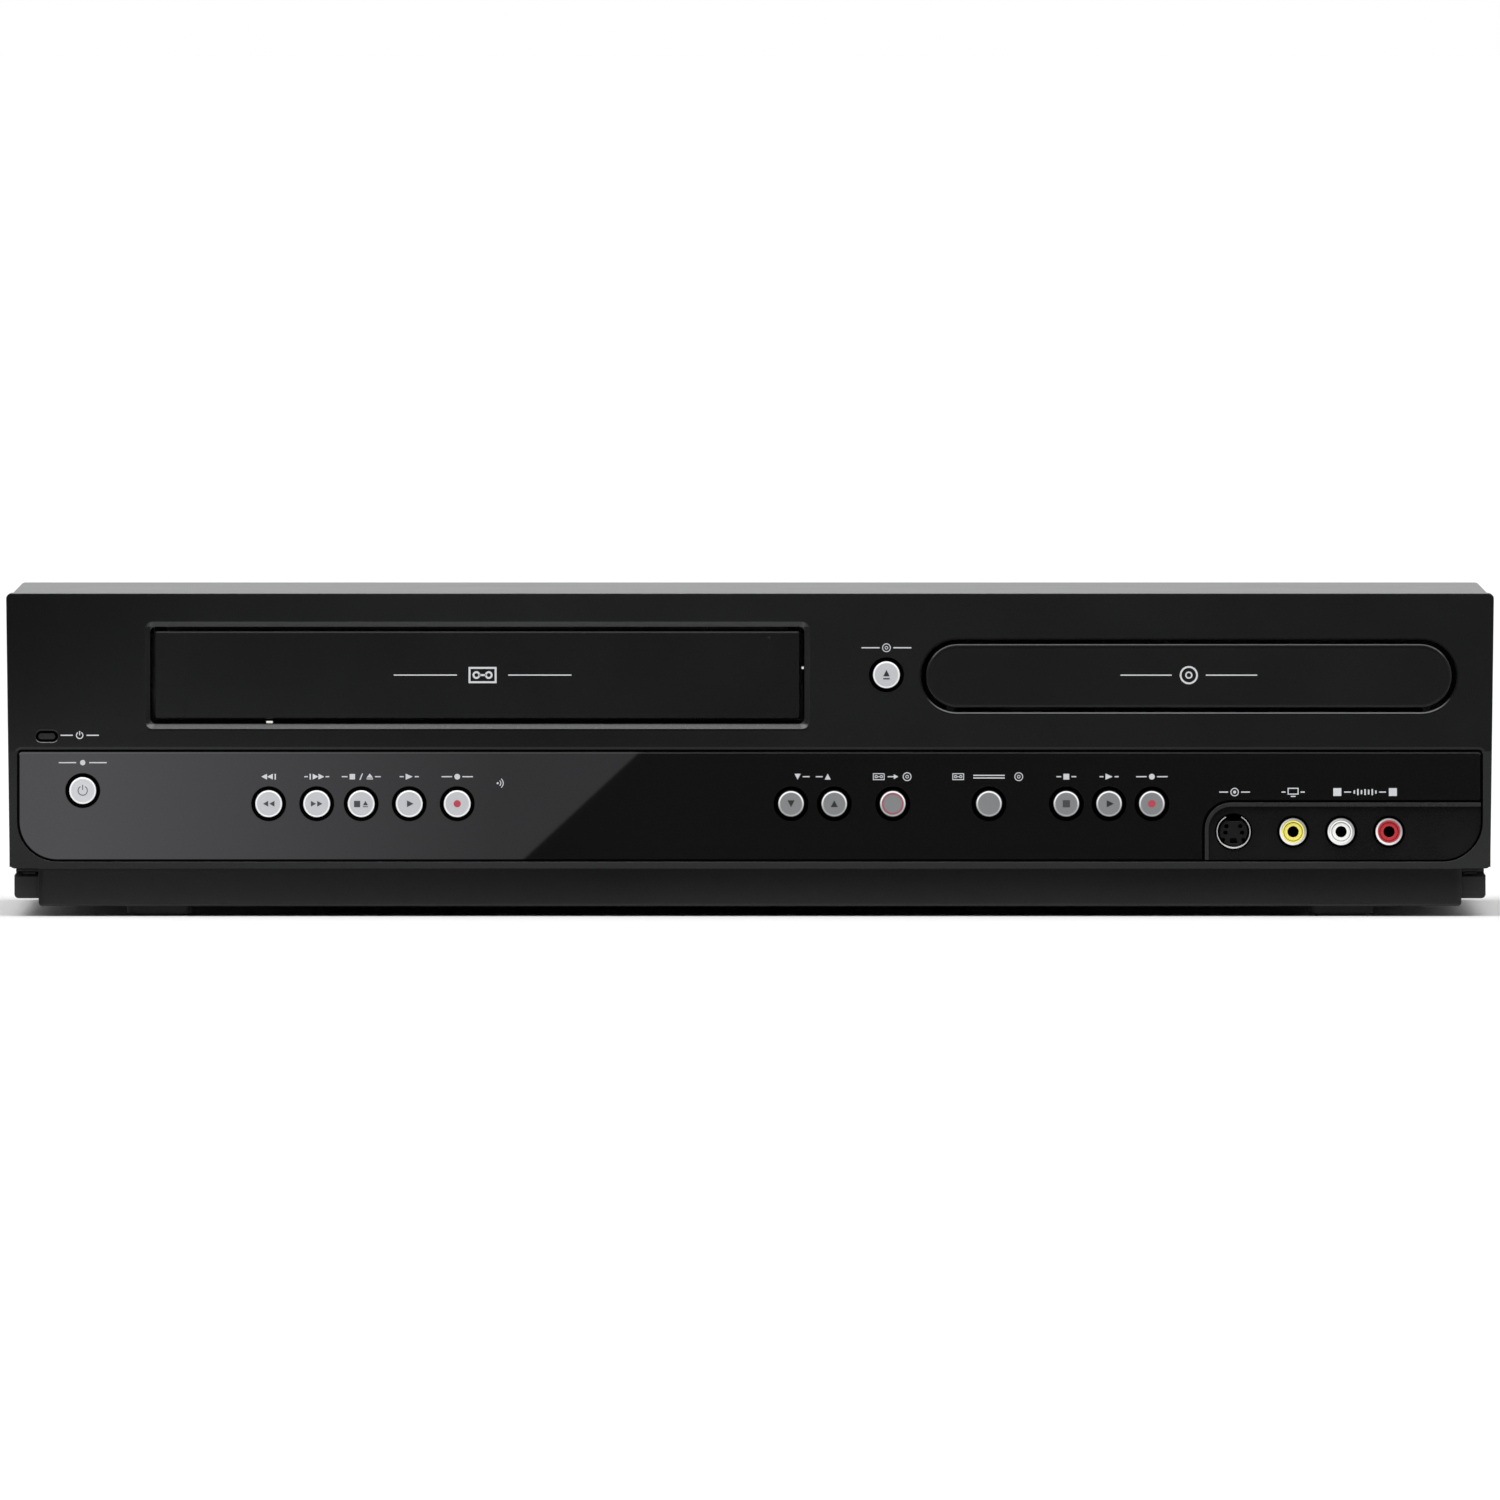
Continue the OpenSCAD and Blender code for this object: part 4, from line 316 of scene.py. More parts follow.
def socket_finish(name):
    """The rear sockets: black housings, plated rims, and a coloured disc in each phono socket."""
    s = Shader(name)
    parts = s.split(s.place)
    step = 0.1             # over which a mask fades, in millimetres
    outside = s.ramp(parts["Y"], REAR_PANEL_Y * MM, (REAR_PANEL_Y + step) * MM)

    def fold(axis, centre, half):
        """Distance along one axis from the nearer of two places, half to each side of centre."""
        return s.math("SUBTRACT", s.apart(parts[axis], centre * MM), half * MM)

    def within(distance, r):
        return s.ramp(distance, (r + step) * MM, r * MM)

    body = s.mix(s.cloud(20.0), (0.011, 0.011, 0.011), (0.017, 0.017, 0.017))
    plating = s.mix(s.cloud(3.0), (0.62, 0.62, 0.61), (0.74, 0.74, 0.73))
    row = fold("Z", *REAR_ROWS)
    metal = within(s.length(fold("X", *AERIAL_PAIR), fold("Z", AERIAL_Z, 0.0)), AERIAL_R)
    discs = []
    for centre, tint in REAR_COLUMNS:
        r = s.length(fold("X", centre, REAR_HALF), row)
        metal = s.any_of(metal, within(r, REAR_RIM_R))
        discs.append((within(r, REAR_DISC_R), tint))
    metal = s.all_of(metal, outside)
    final = s.mix(metal, body, plating)
    for disc, tint in discs:
        inner = s.all_of(disc, outside)
        final = s.mix(inner, final, tint)
        metal = s.all_of(metal, s.ramp(inner, 1.0, 0.0))
    s.paint("Base Color", final)
    s.paint("Metallic", metal)
    s.paint("Roughness", s.cloud(1.5, 0.24, 0.38))
    s.bump(s.noise(0.4), 0.01)
    return s.material


# ---- painted light and shade on the front: seams and wells are painted black as shade, some narrow edges painted pale as highlights ----
# Distances are in millimetres. A fade is (from, to, weight at from, weight at to).
BLACK = (0.0006, 0.0006, 0.0006)
FRONT = (0.0062, 0.0066, 0.0064)
# colours of painted light: on the ledge, and painted highlights and reflections along narrow edges
LEDGE_LIGHT, PANEL_SEAM_HIGHLIGHT, MOUTH_TOP_HIGHLIGHT, WINDOW_TOP_HIGHLIGHT, TRAY_LOW_REFLECTION = (scaled(FRONT, k) for k in (2.9, 2.6, 5.5, 2.4, 2.2))
SILL_HIGHLIGHT, WINDOW_LOW_HIGHLIGHT = (0.21, 0.212, 0.215), (0.11, 0.112, 0.112)
# where the face is darkened as painted shade
FADE_LEFT, FADE_RIGHT = (-210.0, -110.0, 0.62, 0.0), (0.0, 150.0, 0.0, 0.26)
FADE_OVER_PANEL = (PANEL_HIGH, PANEL_HIGH + 1.0, 0.26, 0.0)
FADE_UNDER_MOUTH, UNDER_MOUTH_END = (54.0, 55.5, 0.6, 0.0), (20.0, -60.0)
# the ledge's painted light, weaker towards the left
LEDGE_FADE = (-200.0, -60.0, 0.25, 1.0)
SVIDEO_RIM_R, SVIDEO_RIM_STARTS, SVIDEO_RIM_FULL = 4.1, -3.4, -2.8     # the gap round its block, painted black as shade
PHONO_SHADE_R, PHONO_SIDE_R, SVIDEO_SHADE_R = 4.6, 3.87, 5.3
PHONO_TINTS = ((0.80, 0.72, 0.13), (0.80, 0.80, 0.78), (0.47, 0.020, 0.03))
# the S-video socket's holes, painted black as shade, about its middle: x, z, half width, half height
SVIDEO_HOLES = ((-2.15, 1.5, 0.5, 0.5), (2.0, 1.5, 0.5, 0.5), (-2.42, -0.32, 0.5, 0.42),
                (2.45, -0.32, 0.5, 0.42), (-0.05, -2.35, 0.95, 0.45), (-2.95, -2.3, 0.45, 0.45),
                (2.75, -2.3, 0.45, 0.45), (0.0, 4.2, 1.9, 0.95))


def panel_distance(s, x, z):
    """Distance outside the control panel, whose lower corners are rounder than its upper ones."""
    low = s.outside_of(x, z, (PANEL_LEFT, PANEL_LOW), (PANEL_RIGHT, FAR), PANEL_LOW_R)
    high = s.outside_of(x, z, (PANEL_LEFT, -FAR), (PANEL_RIGHT, PANEL_HIGH), PANEL_HIGH_R)
    return s.math("MAXIMUM", low, high)


def bay_distance(s, x, z):
    return s.outside_of(x, z, (BAY_LEFT, -FAR), (FAR, BAY_TOP), BAY_R)


def stadium_distance(s, x, z, low, high):
    """Distance outside a slot with full round ends."""
    return s.outside_of(x, z, low, high, (high[1] - low[1]) / 2 - 0.001)


def window_distance(s, x, z):
    """Distance outside the power light's window."""
    low, high = ([LENS_MID[i] + sign * LENS_HALF[i] for i in range(2)] for sign in (-1, 1))
    return stadium_distance(s, x, z, low, high)


def svideo_offsets(s, x, z):
    """How far a point lies from the axis of the front S-video socket, across and up."""
    return s.math("SUBTRACT", x, SVIDEO_X), s.math("SUBTRACT", z, JACK_Z)


def phono_offsets(s, x, z):
    """How far a point lies from the axis of the nearest front phono socket, across and up."""
    shifted_x = s.math("SUBTRACT", x, PHONO_X - PHONO_PITCH / 2)
    dx = s.math("SUBTRACT", s.math("FLOORED_MODULO", shifted_x, PHONO_PITCH), PHONO_PITCH / 2)
    return dx, s.math("SUBTRACT", z, JACK_Z)


def blackened(s, colour, dark):
    """What a trim gives when only the places painted black as shade are dull."""
    return s.mix(dark, colour, BLACK), dark


def front_trim(s, x, y, z, colour):
    panel = panel_distance(s, x, z)
    # painted shade: a little paler over the middle of the face than towards its ends, under the mouth and
    # just over the panel
    fade = s.any_of(s.span(x, *FADE_LEFT), s.span(x, *FADE_RIGHT))
    under_mouth = s.all_of(s.span(z, *FADE_UNDER_MOUTH), s.ramp(x, *UNDER_MOUTH_END))
    fade = s.any_of(fade, s.any_of(under_mouth, s.span(z, *FADE_OVER_PANEL)))
    colour = s.mix(fade, colour, BLACK)
    # painted light: the ledge under the panel and the strips beside it are painted paler
    ledge = s.all_of(s.ramp(panel, 0.4, 0.5), s.between(z, SKIRT_TOP + 0.2, PANEL_HIGH, 0.2),
                     s.span(x, *LEDGE_FADE))
    colour = s.mix(ledge, colour, LEDGE_LIGHT)
    # a painted highlight along the face's edge over the panel's seam
    line = s.all_of(s.between(panel, 0.75, 1.3, 0.2), s.ramp(z, PANEL_HIGH, PANEL_HIGH + 0.3))
    colour = s.mix(line, colour, PANEL_SEAM_HIGHLIGHT)
    # bevels of the cassette mouth: a painted highlight on the bevel above, dull at the sides
    across = s.apart(x, MOUTH_X)
    proud = s.ramp(y, FACE_Y + 0.02, FACE_Y + 0.1)
    over = s.all_of(s.between(z, MOUTH_HIGH + 0.1, MOUTH_HIGH + MOUTH_BEVEL), proud,
                    s.ramp(across, MOUTH_HALF_W + 0.6, MOUTH_HALF_W))
    colour = s.mix(over, colour, MOUTH_TOP_HIGHLIGHT)
    beside = s.all_of(s.between(across, MOUTH_HALF_W, MOUTH_HALF_W + MOUTH_BEVEL), proud,
                      s.between(z, MOUTH_LOW, MOUTH_HIGH))
    # a painted highlight on the chamfer along the lower edge of the drawer's opening, between two black
    # lines
    slot = stadium_distance(s, x, z, SLOT_LOW, SLOT_HIGH)
    low_slot = s.ramp(z, 64.0, 60.5)
    colour = s.mix(s.all_of(s.between(slot, 0.16, 0.42, 0.06), low_slot), colour, SILL_HIGHLIGHT)
    off_sill = s.any_of(s.between(slot, -0.5, 0.08, 0.06), s.between(slot, 0.48, 0.9, 0.06))
    off_sill = s.all_of(off_sill, low_slot)
    # painted shade: black lines at both sides of the bevel under the cassette mouth
    lip = MOUTH_LOW - MOUTH_BEVEL
    off_lip = s.any_of(s.between(z, MOUTH_LOW - 0.2, MOUTH_LOW + 0.5), s.between(z, lip - 0.35, lip - 0.05))
    off_lip = s.all_of(off_lip, s.ramp(across, MOUTH_HALF_W + 1.0, MOUTH_HALF_W))
    colour = s.mix(off_lip, colour, BLACK)
    # the power light's window: a painted highlight on the edge below it, a weaker one above, and painted
    # shade, black, inside it
    window = window_distance(s, x, z)
    below = s.all_of(s.between(window, 0.14, 0.3, 0.08), s.ramp(z, LENS_MID[1] - 0.8, LENS_MID[1] - 1.3))
    colour = s.mix(below, colour, WINDOW_LOW_HIGHLIGHT)
    above = s.all_of(s.between(window, 0.1, 0.4, 0.1), s.ramp(z, LENS_MID[1] + 0.8, LENS_MID[1] + 1.3))
    colour = s.mix(above, colour, WINDOW_TOP_HIGHLIGHT)
    # painted shade: the seam over the panel, and everything deep inside the openings, are black
    seam = s.all_of(s.ramp(panel, 0.7, 0.62), s.ramp(z, PANEL_HIGH, PANEL_HIGH + 0.1))
    deep = s.all_of(s.ramp(y, FACE_Y + 1.5, FACE_Y + 1.6), s.ramp(z, SKIRT_TOP, SKIRT_TOP + 0.1))
    dark = s.any_of(seam, deep, s.ramp(window, 0.14, 0.08))
    dull = s.any_of(off_sill, off_lip, beside)
    return s.mix(dark, colour, BLACK), s.any_of(dark, s.math("MULTIPLY", dull, 0.75))


def panel_trim(s, x, y, z, colour):
    """Painted shade: a black seam inside the outline and round the bay, except along the top, where the
    edge has a painted highlight.
    """
    panel = panel_distance(s, x, z)
    top = s.ramp(z, PANEL_HIGH - 0.9, PANEL_HIGH - 0.7)
    rim = s.all_of(s.between(panel, -0.5, -0.24), top)
    colour = s.mix(rim, colour, (0.03, 0.03, 0.03))
    round_it = s.all_of(s.ramp(panel, -0.42, -0.32), s.math("SUBTRACT", 1.0, top))
    round_bay = s.ramp(bay_distance(s, x, z), 0.65, 0.55)
    deep = s.ramp(y, FACE_Y + 0.1, FACE_Y + 0.2)
    return blackened(s, colour, s.any_of(round_it, round_bay, s.any_of(deep, s.ramp(panel, -0.14, -0.08))))


def bay_trim(s, x, y, z, colour):
    """A rim painted pale as painted light, and painted shade round each socket."""
    rim = s.all_of(s.between(bay_distance(s, x, z), -1.25, 0.0), s.ramp(y, FACE_Y + 0.1, FACE_Y + 0.02))
    colour = s.mix(rim, colour, (0.020, 0.0205, 0.0205))
    round_phono = s.ramp(s.length(*phono_offsets(s, x, z)), PHONO_SHADE_R + 0.2, PHONO_SHADE_R)
    round_svideo = s.ramp(s.length(*svideo_offsets(s, x, z)), SVIDEO_SHADE_R + 0.3, SVIDEO_SHADE_R)
    along_them = s.between(x, PHONO_X - 7.0, PHONO_X + 2 * PHONO_PITCH + 7.0)
    return blackened(s, colour, s.any_of(s.all_of(round_phono, along_them), round_svideo))


def phono_trim(s, x, y, z, colour):
    """The plated rims: painted light, brighter at the lower left and darker at the upper right; a groove of
    painted shade along the upper inner edge; black round the side as painted shade; coloured at the inner
    edge.
    """
    dx, dz = phono_offsets(s, x, z)
    r = s.length(dx, dz)
    colour = s.mix(s.ramp(s.math("ADD", dx, dz), -4.5, 4.5), (0.78, 0.78, 0.79), (0.30, 0.30, 0.31))
    groove = s.all_of(s.between(r, PHONO_DISC_R, PHONO_DISC_R + 0.12, 0.06), s.ramp(dz, -0.8, 1.2))
    colour = s.mix(groove, colour, (0.12, 0.12, 0.12))
    inner = s.ramp(r, PHONO_DISC_R + 0.06, PHONO_DISC_R)
    for i, tint in enumerate(PHONO_TINTS):
        here = s.between(x, PHONO_X + (i - 0.5) * PHONO_PITCH, PHONO_X + (i + 0.5) * PHONO_PITCH)
        colour = s.mix(s.all_of(inner, here), colour, tint)
    return blackened(s, colour, s.ramp(r, PHONO_SIDE_R, PHONO_SIDE_R + 0.08))


def svideo_shell_trim(s, x, y, z, colour):
    """Painted light and shade: only the ring's front is bright, more so at the bottom; behind its front,
    and inside the ring above its bottom, it is painted black.
    """
    dx, dz = svideo_offsets(s, x, z)
    colour = s.mix(s.ramp(dz, -3.0, 1.0), colour, (0.42, 0.42, 0.42))
    inner = s.all_of(s.ramp(s.length(dx, dz), 4.72, 4.66), s.ramp(dz, -4.2, -3.4))
    return blackened(s, colour, s.any_of(s.ramp(y, FACE_Y + 0.7, FACE_Y + 0.8), inner))


def svideo_insert_trim(s, x, y, z, colour):
    """Painted shade: black pin holes, key slot, side notches and outer gap."""
    dx, dz = svideo_offsets(s, x, z)
    gap = s.ramp(s.length(dx, dz), SVIDEO_RIM_R - 0.15, SVIDEO_RIM_R)
    dark = s.all_of(gap, s.ramp(dz, SVIDEO_RIM_STARTS, SVIDEO_RIM_FULL))
    for px, pz, half_w, half_h in SVIDEO_HOLES:
        hole = s.outside_of(dx, dz, (px - half_w, pz - half_h), (px + half_w, pz + half_h),
                            min(half_w, half_h) * 0.8)
        dark = s.any_of(dark, s.ramp(hole, 0.1, 0.0))
    return blackened(s, colour, dark)


def lens_trim(s, x, y, z, colour):
    # painted shade: the lens is black round its edge
    return blackened(s, colour, s.ramp(window_distance(s, x, z), -0.72, -0.66))


def bore_trim(s, x, y, z, colour):
    # painted shade: the bore is black deeper than half a millimetre behind the face
    return blackened(s, colour, s.ramp(y, FACE_Y + 0.5, FACE_Y + 0.6))


def door_trim(s, x, y, z, colour):
    """A painted highlight along the top, and the hinge arms above it painted black as shade."""
    top = s.ramp(z, DOOR_TOP - 0.42, DOOR_TOP - 0.34)
    return blackened(s, s.mix(top, colour, (0.05, 0.05, 0.05)), s.ramp(z, DOOR_TOP + 0.02, DOOR_TOP + 0.06))


def tray_trim(s, x, y, z, colour):
    low, high = ([corner[0] / MM, corner[2] / MM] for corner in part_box("tray_front"))
    half_h, middle_z = (high[1] - low[1]) / 2, (low[1] + high[1]) / 2
    edge = stadium_distance(s, x, z, low, high)
    lower = s.ramp(z, middle_z - half_h * 0.5, middle_z - half_h * 0.8)
    # painted shade: a black band along the lower edge, and a thin black line round the whole outline
    dark = s.any_of(s.all_of(s.ramp(edge, -0.28, -0.2), lower), s.ramp(edge, -0.1, -0.04))
    # only a narrow line along the upper edge shines
    upper = s.ramp(z, middle_z + half_h * 0.3, middle_z + half_h * 0.8)
    sides = s.all_of(s.between(edge, -0.5, 0.5), s.math("SUBTRACT", 1.0, upper))
    dull = s.any_of(s.all_of(s.between(edge, -1.2, -0.27, 0.06), upper), s.math("MULTIPLY", sides, 0.6))
    # a faint painted reflection inside the lower edge
    colour = s.mix(s.all_of(s.between(edge, -0.8, -0.45), lower), colour, TRAY_LOW_REFLECTION)
    return s.mix(dark, colour, BLACK), s.any_of(dark, s.math("MULTIPLY", dull, 0.92))


def cap_trim(centre, rim_reflection, low_weight, edge):
    """A round cap's rim with a painted reflection, weaker at the bottom, and its side painted black as
    shade.
    """
    def trim(s, x, y, z, colour):
        dx, dz = s.math("SUBTRACT", x, centre[0]), s.math("SUBTRACT", z, centre[2])
        r = s.length(dx, dz)
        weight = s.span(dz, -1.5, 1.5, low_weight, 1.0)
        colour = s.mix(s.all_of(s.between(r, edge - 0.4, edge - 0.03, 0.15), weight), colour, rim_reflection)
        return blackened(s, colour, s.ramp(r, edge - 0.03, edge + 0.03))
    return trim


# ---- the player's finishes: colour, roughness and what differs from finish_of's own values ----
PLAIN_FINISHES = {
    "front_plastic": (scaled(FRONT, 1.35), 0.26, dict(
        edge_mm=0.3, edge_wear_sheen_gain=1.8, grain_depth=0.004, rough_vary=0.012, trim=front_trim)),
    "gloss_panel": ((0.0016, 0.0016, 0.0015), 0.03, dict(
        specular=1.0, coat=1.0, coat_rough=0.03, grain_depth=0.0001, rough_vary=0.006, edge_mm=0.2,
        edge_wear_sheen_gain=3.0, mottle=0.05, trim=panel_trim)),
    "bay_plastic": ((0.0032, 0.0034, 0.0032), 0.28, dict(specular=0.38, grain_depth=0.004, trim=bay_trim)),
    "door_plastic": ((0.0058, 0.0062, 0.0059), 0.26, dict(
        edge_mm=0.3, edge_wear_sheen_gain=2.2, grain_depth=0.002, rough_vary=0.012, trim=door_trim)),
    "tray_face": ((0.0066, 0.0070, 0.0066), 0.26, dict(
        edge_mm=0.2, edge_wear_sheen_gain=1.8, grain_depth=0.002, rough_vary=0.012, trim=tray_trim)),
    "phono_rim": ((0.60, 0.60, 0.61), 0.3, dict(
        mottle=0.03, edge_mm=0.15, edge_wear_sheen_gain=1.1, grain_depth=0.001, dust=0.0, trim=phono_trim)),
    "smoke_lens": ((0.016, 0.016, 0.017), 0.16, dict(coat=0.4, grain_depth=0.001, trim=lens_trim)),
    "svideo_ring": ((0.62, 0.62, 0.61), 0.26, dict(
        metal=0.2, mottle=0.04, edge_wear_sheen_gain=1.1, grain_depth=0.001, dust=0.0, trim=svideo_shell_trim)),
    "svideo_block": ((0.0036, 0.0038, 0.0036), 0.4, dict(specular=0.3, dust=0.0, trim=svideo_insert_trim)),
    "cover_steel": ((0.026, 0.027, 0.029), 0.38, dict(
        specular=0.85, grain_mm=0.45, grain_depth=0.012, edge_wear_sheen_gain=2.0, mottle=0.08, rough_vary=0.035)),
    "chassis_plastic": ((0.0080, 0.0084, 0.0084), 0.5, dict(edge_wear_sheen_gain=2.5)),
    "foot_plastic": ((0.0025, 0.0025, 0.0026), 0.6, {}),
    "tray_plastic": ((0.012, 0.012, 0.013), 0.4, dict(edge_wear_sheen_gain=2.5)),
    "grey_plastic": ((0.06, 0.06, 0.065), 0.5, {}),
    "white_plastic": ((0.72, 0.71, 0.66), 0.42, dict(edge_wear_sheen_gain=1.05, mottle=0.05)),
    "black_plastic": ((0.010, 0.010, 0.010), 0.42, {}),
    "pad_rubber": ((0.0025, 0.0025, 0.0025), 0.75, dict(grain_depth=0.03)),
    "roller_rubber": ((0.02, 0.02, 0.02), 0.7, dict(grain_depth=0.02)),
    "zinc_steel": ((0.50, 0.51, 0.51), 0.36, dict(
        metal=1.0, mottle=0.14, grain_mm=3.0, grain_depth=0.004, edge_wear_sheen_gain=1.2, rough_vary=0.12)),
    "spring_steel": ((0.58, 0.58, 0.59), 0.24, dict(metal=1.0, along=(1.0, 1.0, 20.0), edge_wear_sheen_gain=1.2)),
    "black_screw": ((0.03, 0.03, 0.03), 0.4, dict(metal=0.6, edge_wear_sheen_gain=4.0)),
    "drum_alloy": ((0.70, 0.71, 0.72), 0.22, dict(
        metal=1.0, along=(1.0, 1.0, 40.0), mottle=0.05, edge_wear_sheen_gain=1.15)),
    "display_glass": ((0.008, 0.012, 0.012), 0.08, dict(grain_depth=0.0005)),
    "insulator_yellow": (PHONO_TINTS[0], 0.32, dict(edge_wear_sheen_gain=1.1, mottle=0.05, dust=0.0, trim=bore_trim)),
    "insulator_white": (PHONO_TINTS[1], 0.32, dict(edge_wear_sheen_gain=1.05, mottle=0.03, dust=0.0, trim=bore_trim)),
    "insulator_red": (PHONO_TINTS[2], 0.32, dict(edge_wear_sheen_gain=1.2, mottle=0.05, dust=0.0, trim=bore_trim)),
}
INKS = {
    "white_ink": ((0.50, 0.51, 0.53), 0.5),
    "grey_ink": ((0.045, 0.045, 0.05), 0.5),
    "red_ink": ((0.42, 0.03, 0.06), 0.45),
    "rose_ink": ((0.31, 0.07, 0.10), 0.45),
    "dark_ink": ((0.016, 0.016, 0.018), 0.5),
}
GREEN_BOARD = ((0.015, 0.10, 0.035), (0.03, 0.17, 0.06))
BROWN_BOARD = ((0.22, 0.12, 0.045), (0.33, 0.2, 0.08))
FINISHES = {name: finish_of(name, colour, rough, **rest)
            for name, (colour, rough, rest) in PLAIN_FINISHES.items()}
FINISHES["copper_wire"] = winding_finish("copper_wire", (0.62, 0.28, 0.10))
FINISHES["board_green"] = board_finish("board_green", *GREEN_BOARD, BOARD_TOP)
FINISHES["board_front"] = board_finish("board_front", *GREEN_BOARD)
FINISHES["board_brown"] = board_finish("board_brown", *BROWN_BOARD, BOARD_TOP)
FINISHES["rear_socket"] = socket_finish("rear_socket")
for ink, (colour, rough) in INKS.items():
    FINISHES[ink] = finish_of(ink, colour, rough, mottle=0.08, edge_mm=0.02, edge_wear_sheen_gain=1.0, dust=0.0)

# finish of a cap's face, its rim's painted reflection, how much of that shows at the bottom, and where its
# side begins
CAPS = {"button_silver": ((0.55, 0.56, 0.58), (0.94, 0.95, 0.96), 1.0, 3.90),
        "button_grey": ((0.24, 0.245, 0.25), (0.95, 0.96, 0.97), 0.25, 3.70)}
FACE_GAIN = {"standby_button": 1.12}


def cap_finish(button, slot):
    face, rim, low_weight, edge = CAPS[slot]
    face = scaled(face, FACE_GAIN.get(button, 1.0))
    return finish_of(button + "_cap", face, 0.34, metal=0.25, coat=0.3, mottle=0.03, grain_mm=0.12,
                     grain_depth=0.002, edge_mm=0.45, edge_wear_sheen_gain=1.0, dust=0.0,
                     trim=cap_trim(middle(button), rim, low_weight, edge))


# pieces whose finish is not their slot's
OWN_FINISH = {"rear_sockets": "rear_socket", "front_boards": "board_front", "tray_front": "tray_face",
              "phono_shells": "phono_rim", "svideo_shell": "svideo_ring", "svideo_insert": "svideo_block"}
slot_of = {part["node"]: part["material_slot"] for part in frame["record"]["subparts"]}
for name, node in frame["nodes"].items():
    slot = slot_of[name]
    node.data.materials.clear()
    material = cap_finish(name, slot) if slot in CAPS else FINISHES[OWN_FINISH.get(name, slot)]
    node.data.materials.append(material)


# ---- flat printed marks ----
# A mark is a list of closed outlines in millimetres, each a list of (x, z) points.
INK = 0.03                 # thickness of a printed mark
BITE = 0.01                # how far a print is sunk into what it is printed on
RULE = 0.34                # width of a printed rule


def bar(x0, z0, x1, z1):
    return [[(x0, z0), (x1, z0), (x1, z1), (x0, z1)]]


def dot(x, z, r, steps=24):
    turn = 2 * math.pi / steps
    return [[(x + r * math.cos(i * turn), z + r * math.sin(i * turn)) for i in range(steps)]]


def arc(x, z, r, width, start=0.0, end=360.0, steps=32):
    """A curved stroke; a full circle is drawn as two half strokes."""
    if end - start >= 360.0:
        half = steps // 2
        middle_angle = start + 180.0
        return arc(x, z, r, width, start, middle_angle, half) + arc(x, z, r, width, middle_angle, end, half)
    angles = [math.radians(start + (end - start) * i / steps) for i in range(steps + 1)]
    outer, inner = ([(x + side * math.cos(a), z + side * math.sin(a)) for a in angles]
                    for side in (r + width / 2, r - width / 2))
    return [outer + inner[::-1]]


def triangle(x, z, length, height, heading):
    """A triangle centred on (x, z), pointing left, right, up or down."""
    half_l, half_h = length / 2, height / 2
    points = {"right": [(-half_l, -half_h), (half_l, 0), (-half_l, half_h)],
              "left": [(half_l, half_h), (-half_l, 0), (half_l, -half_h)],
              "up": [(-half_h, -half_l), (half_h, -half_l), (0, half_l)],
              "down": [(half_h, half_l), (-half_h, half_l), (0, -half_l)]}[heading]
    return shifted([points], x, z)


def shifted(loops, x, z):
    return [[(x + px, z + pz) for px, pz in loop] for loop in loops]


def frame_mark(x, z, w, h, line):
    """The outline of a rectangle as four bars."""
    left, right, low, high = x - w / 2, x + w / 2, z - h / 2, z + h / 2
    return (bar(left, low, right, low + line) + bar(left, high - line, right, high)
            + bar(left, low + line, left + line, high - line)
            + bar(right - line, low + line, right, high - line))


def cassette_mark(x, z, w):
    """A small picture of a tape cassette: its case and two hubs."""
    line = w * 0.07
    return (frame_mark(x, z, w, w * 0.58, line) + arc(x - w * 0.22, z, w * 0.105, line, steps=16)
            + arc(x + w * 0.22, z, w * 0.105, line, steps=16)
            + bar(x - w * 0.12, z - line / 2, x + w * 0.12, z + line / 2))


def disc_mark(x, z, r):
    """A small picture of a disc: its rim and its hole."""
    return arc(x, z, r, r * 0.22) + arc(x, z, r * 0.36, r * 0.18, steps=16)


def screen_mark(x, z, w):
    """A small picture of a television."""
    return (frame_mark(x, z + 0.25, w, w * 0.62, 0.3)
            + bar(x - w * 0.22, z - w * 0.44, x + w * 0.22, z - w * 0.34))


def signal_mark(x, z):
    """A dot with two waves, for the remote receiver."""
    x = x - 0.8
    return dot(x, z, 0.3, 12) + arc(x, z, 0.95, 0.26, -50, 50, 8) + arc(x, z, 1.65, 0.26, -50, 50, 10)


def flanked(loops, inner, outer):
    """A mark with a short rule on each side of it, so that it is as wide as a word."""
    return loops + bar(-outer, -RULE / 2, -inner, RULE / 2) + bar(inner, -RULE / 2, outer, RULE / 2)


def sound_mark():
    """A pair of squares joined by short rules to a row of bars like a sound wave."""
    loops = flanked([], 4.1, 6.1) + bar(-9.3, -1.15, -6.95, 1.15) + bar(6.95, -1.15, 9.3, 1.15)
    heights = (0.5, 0.9, 0.6, 0.85, 0.7, 0.9, 0.45)
    for i, height in enumerate(heights):
        x = (i - (len(heights) - 1) / 2) * 1.05
        loops = loops + bar(x - 0.22, -height, x + 0.22, height)
    return loops


def pair(heading, size, x_first, x_second):
    """Two triangles one behind the other."""
    return triangle(x_first, 0, *size, heading) + triangle(x_second, 0, *size, heading)


def ride_mesh(name, bm, material, body):
    mesh = bpy.data.meshes.new(name)
    bm.to_mesh(mesh)
    bm.free()
    mesh.materials.append(material)
    piece = bpy.data.objects.new(name, mesh)
    bpy.context.scene.collection.objects.link(piece)
    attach(piece, body)


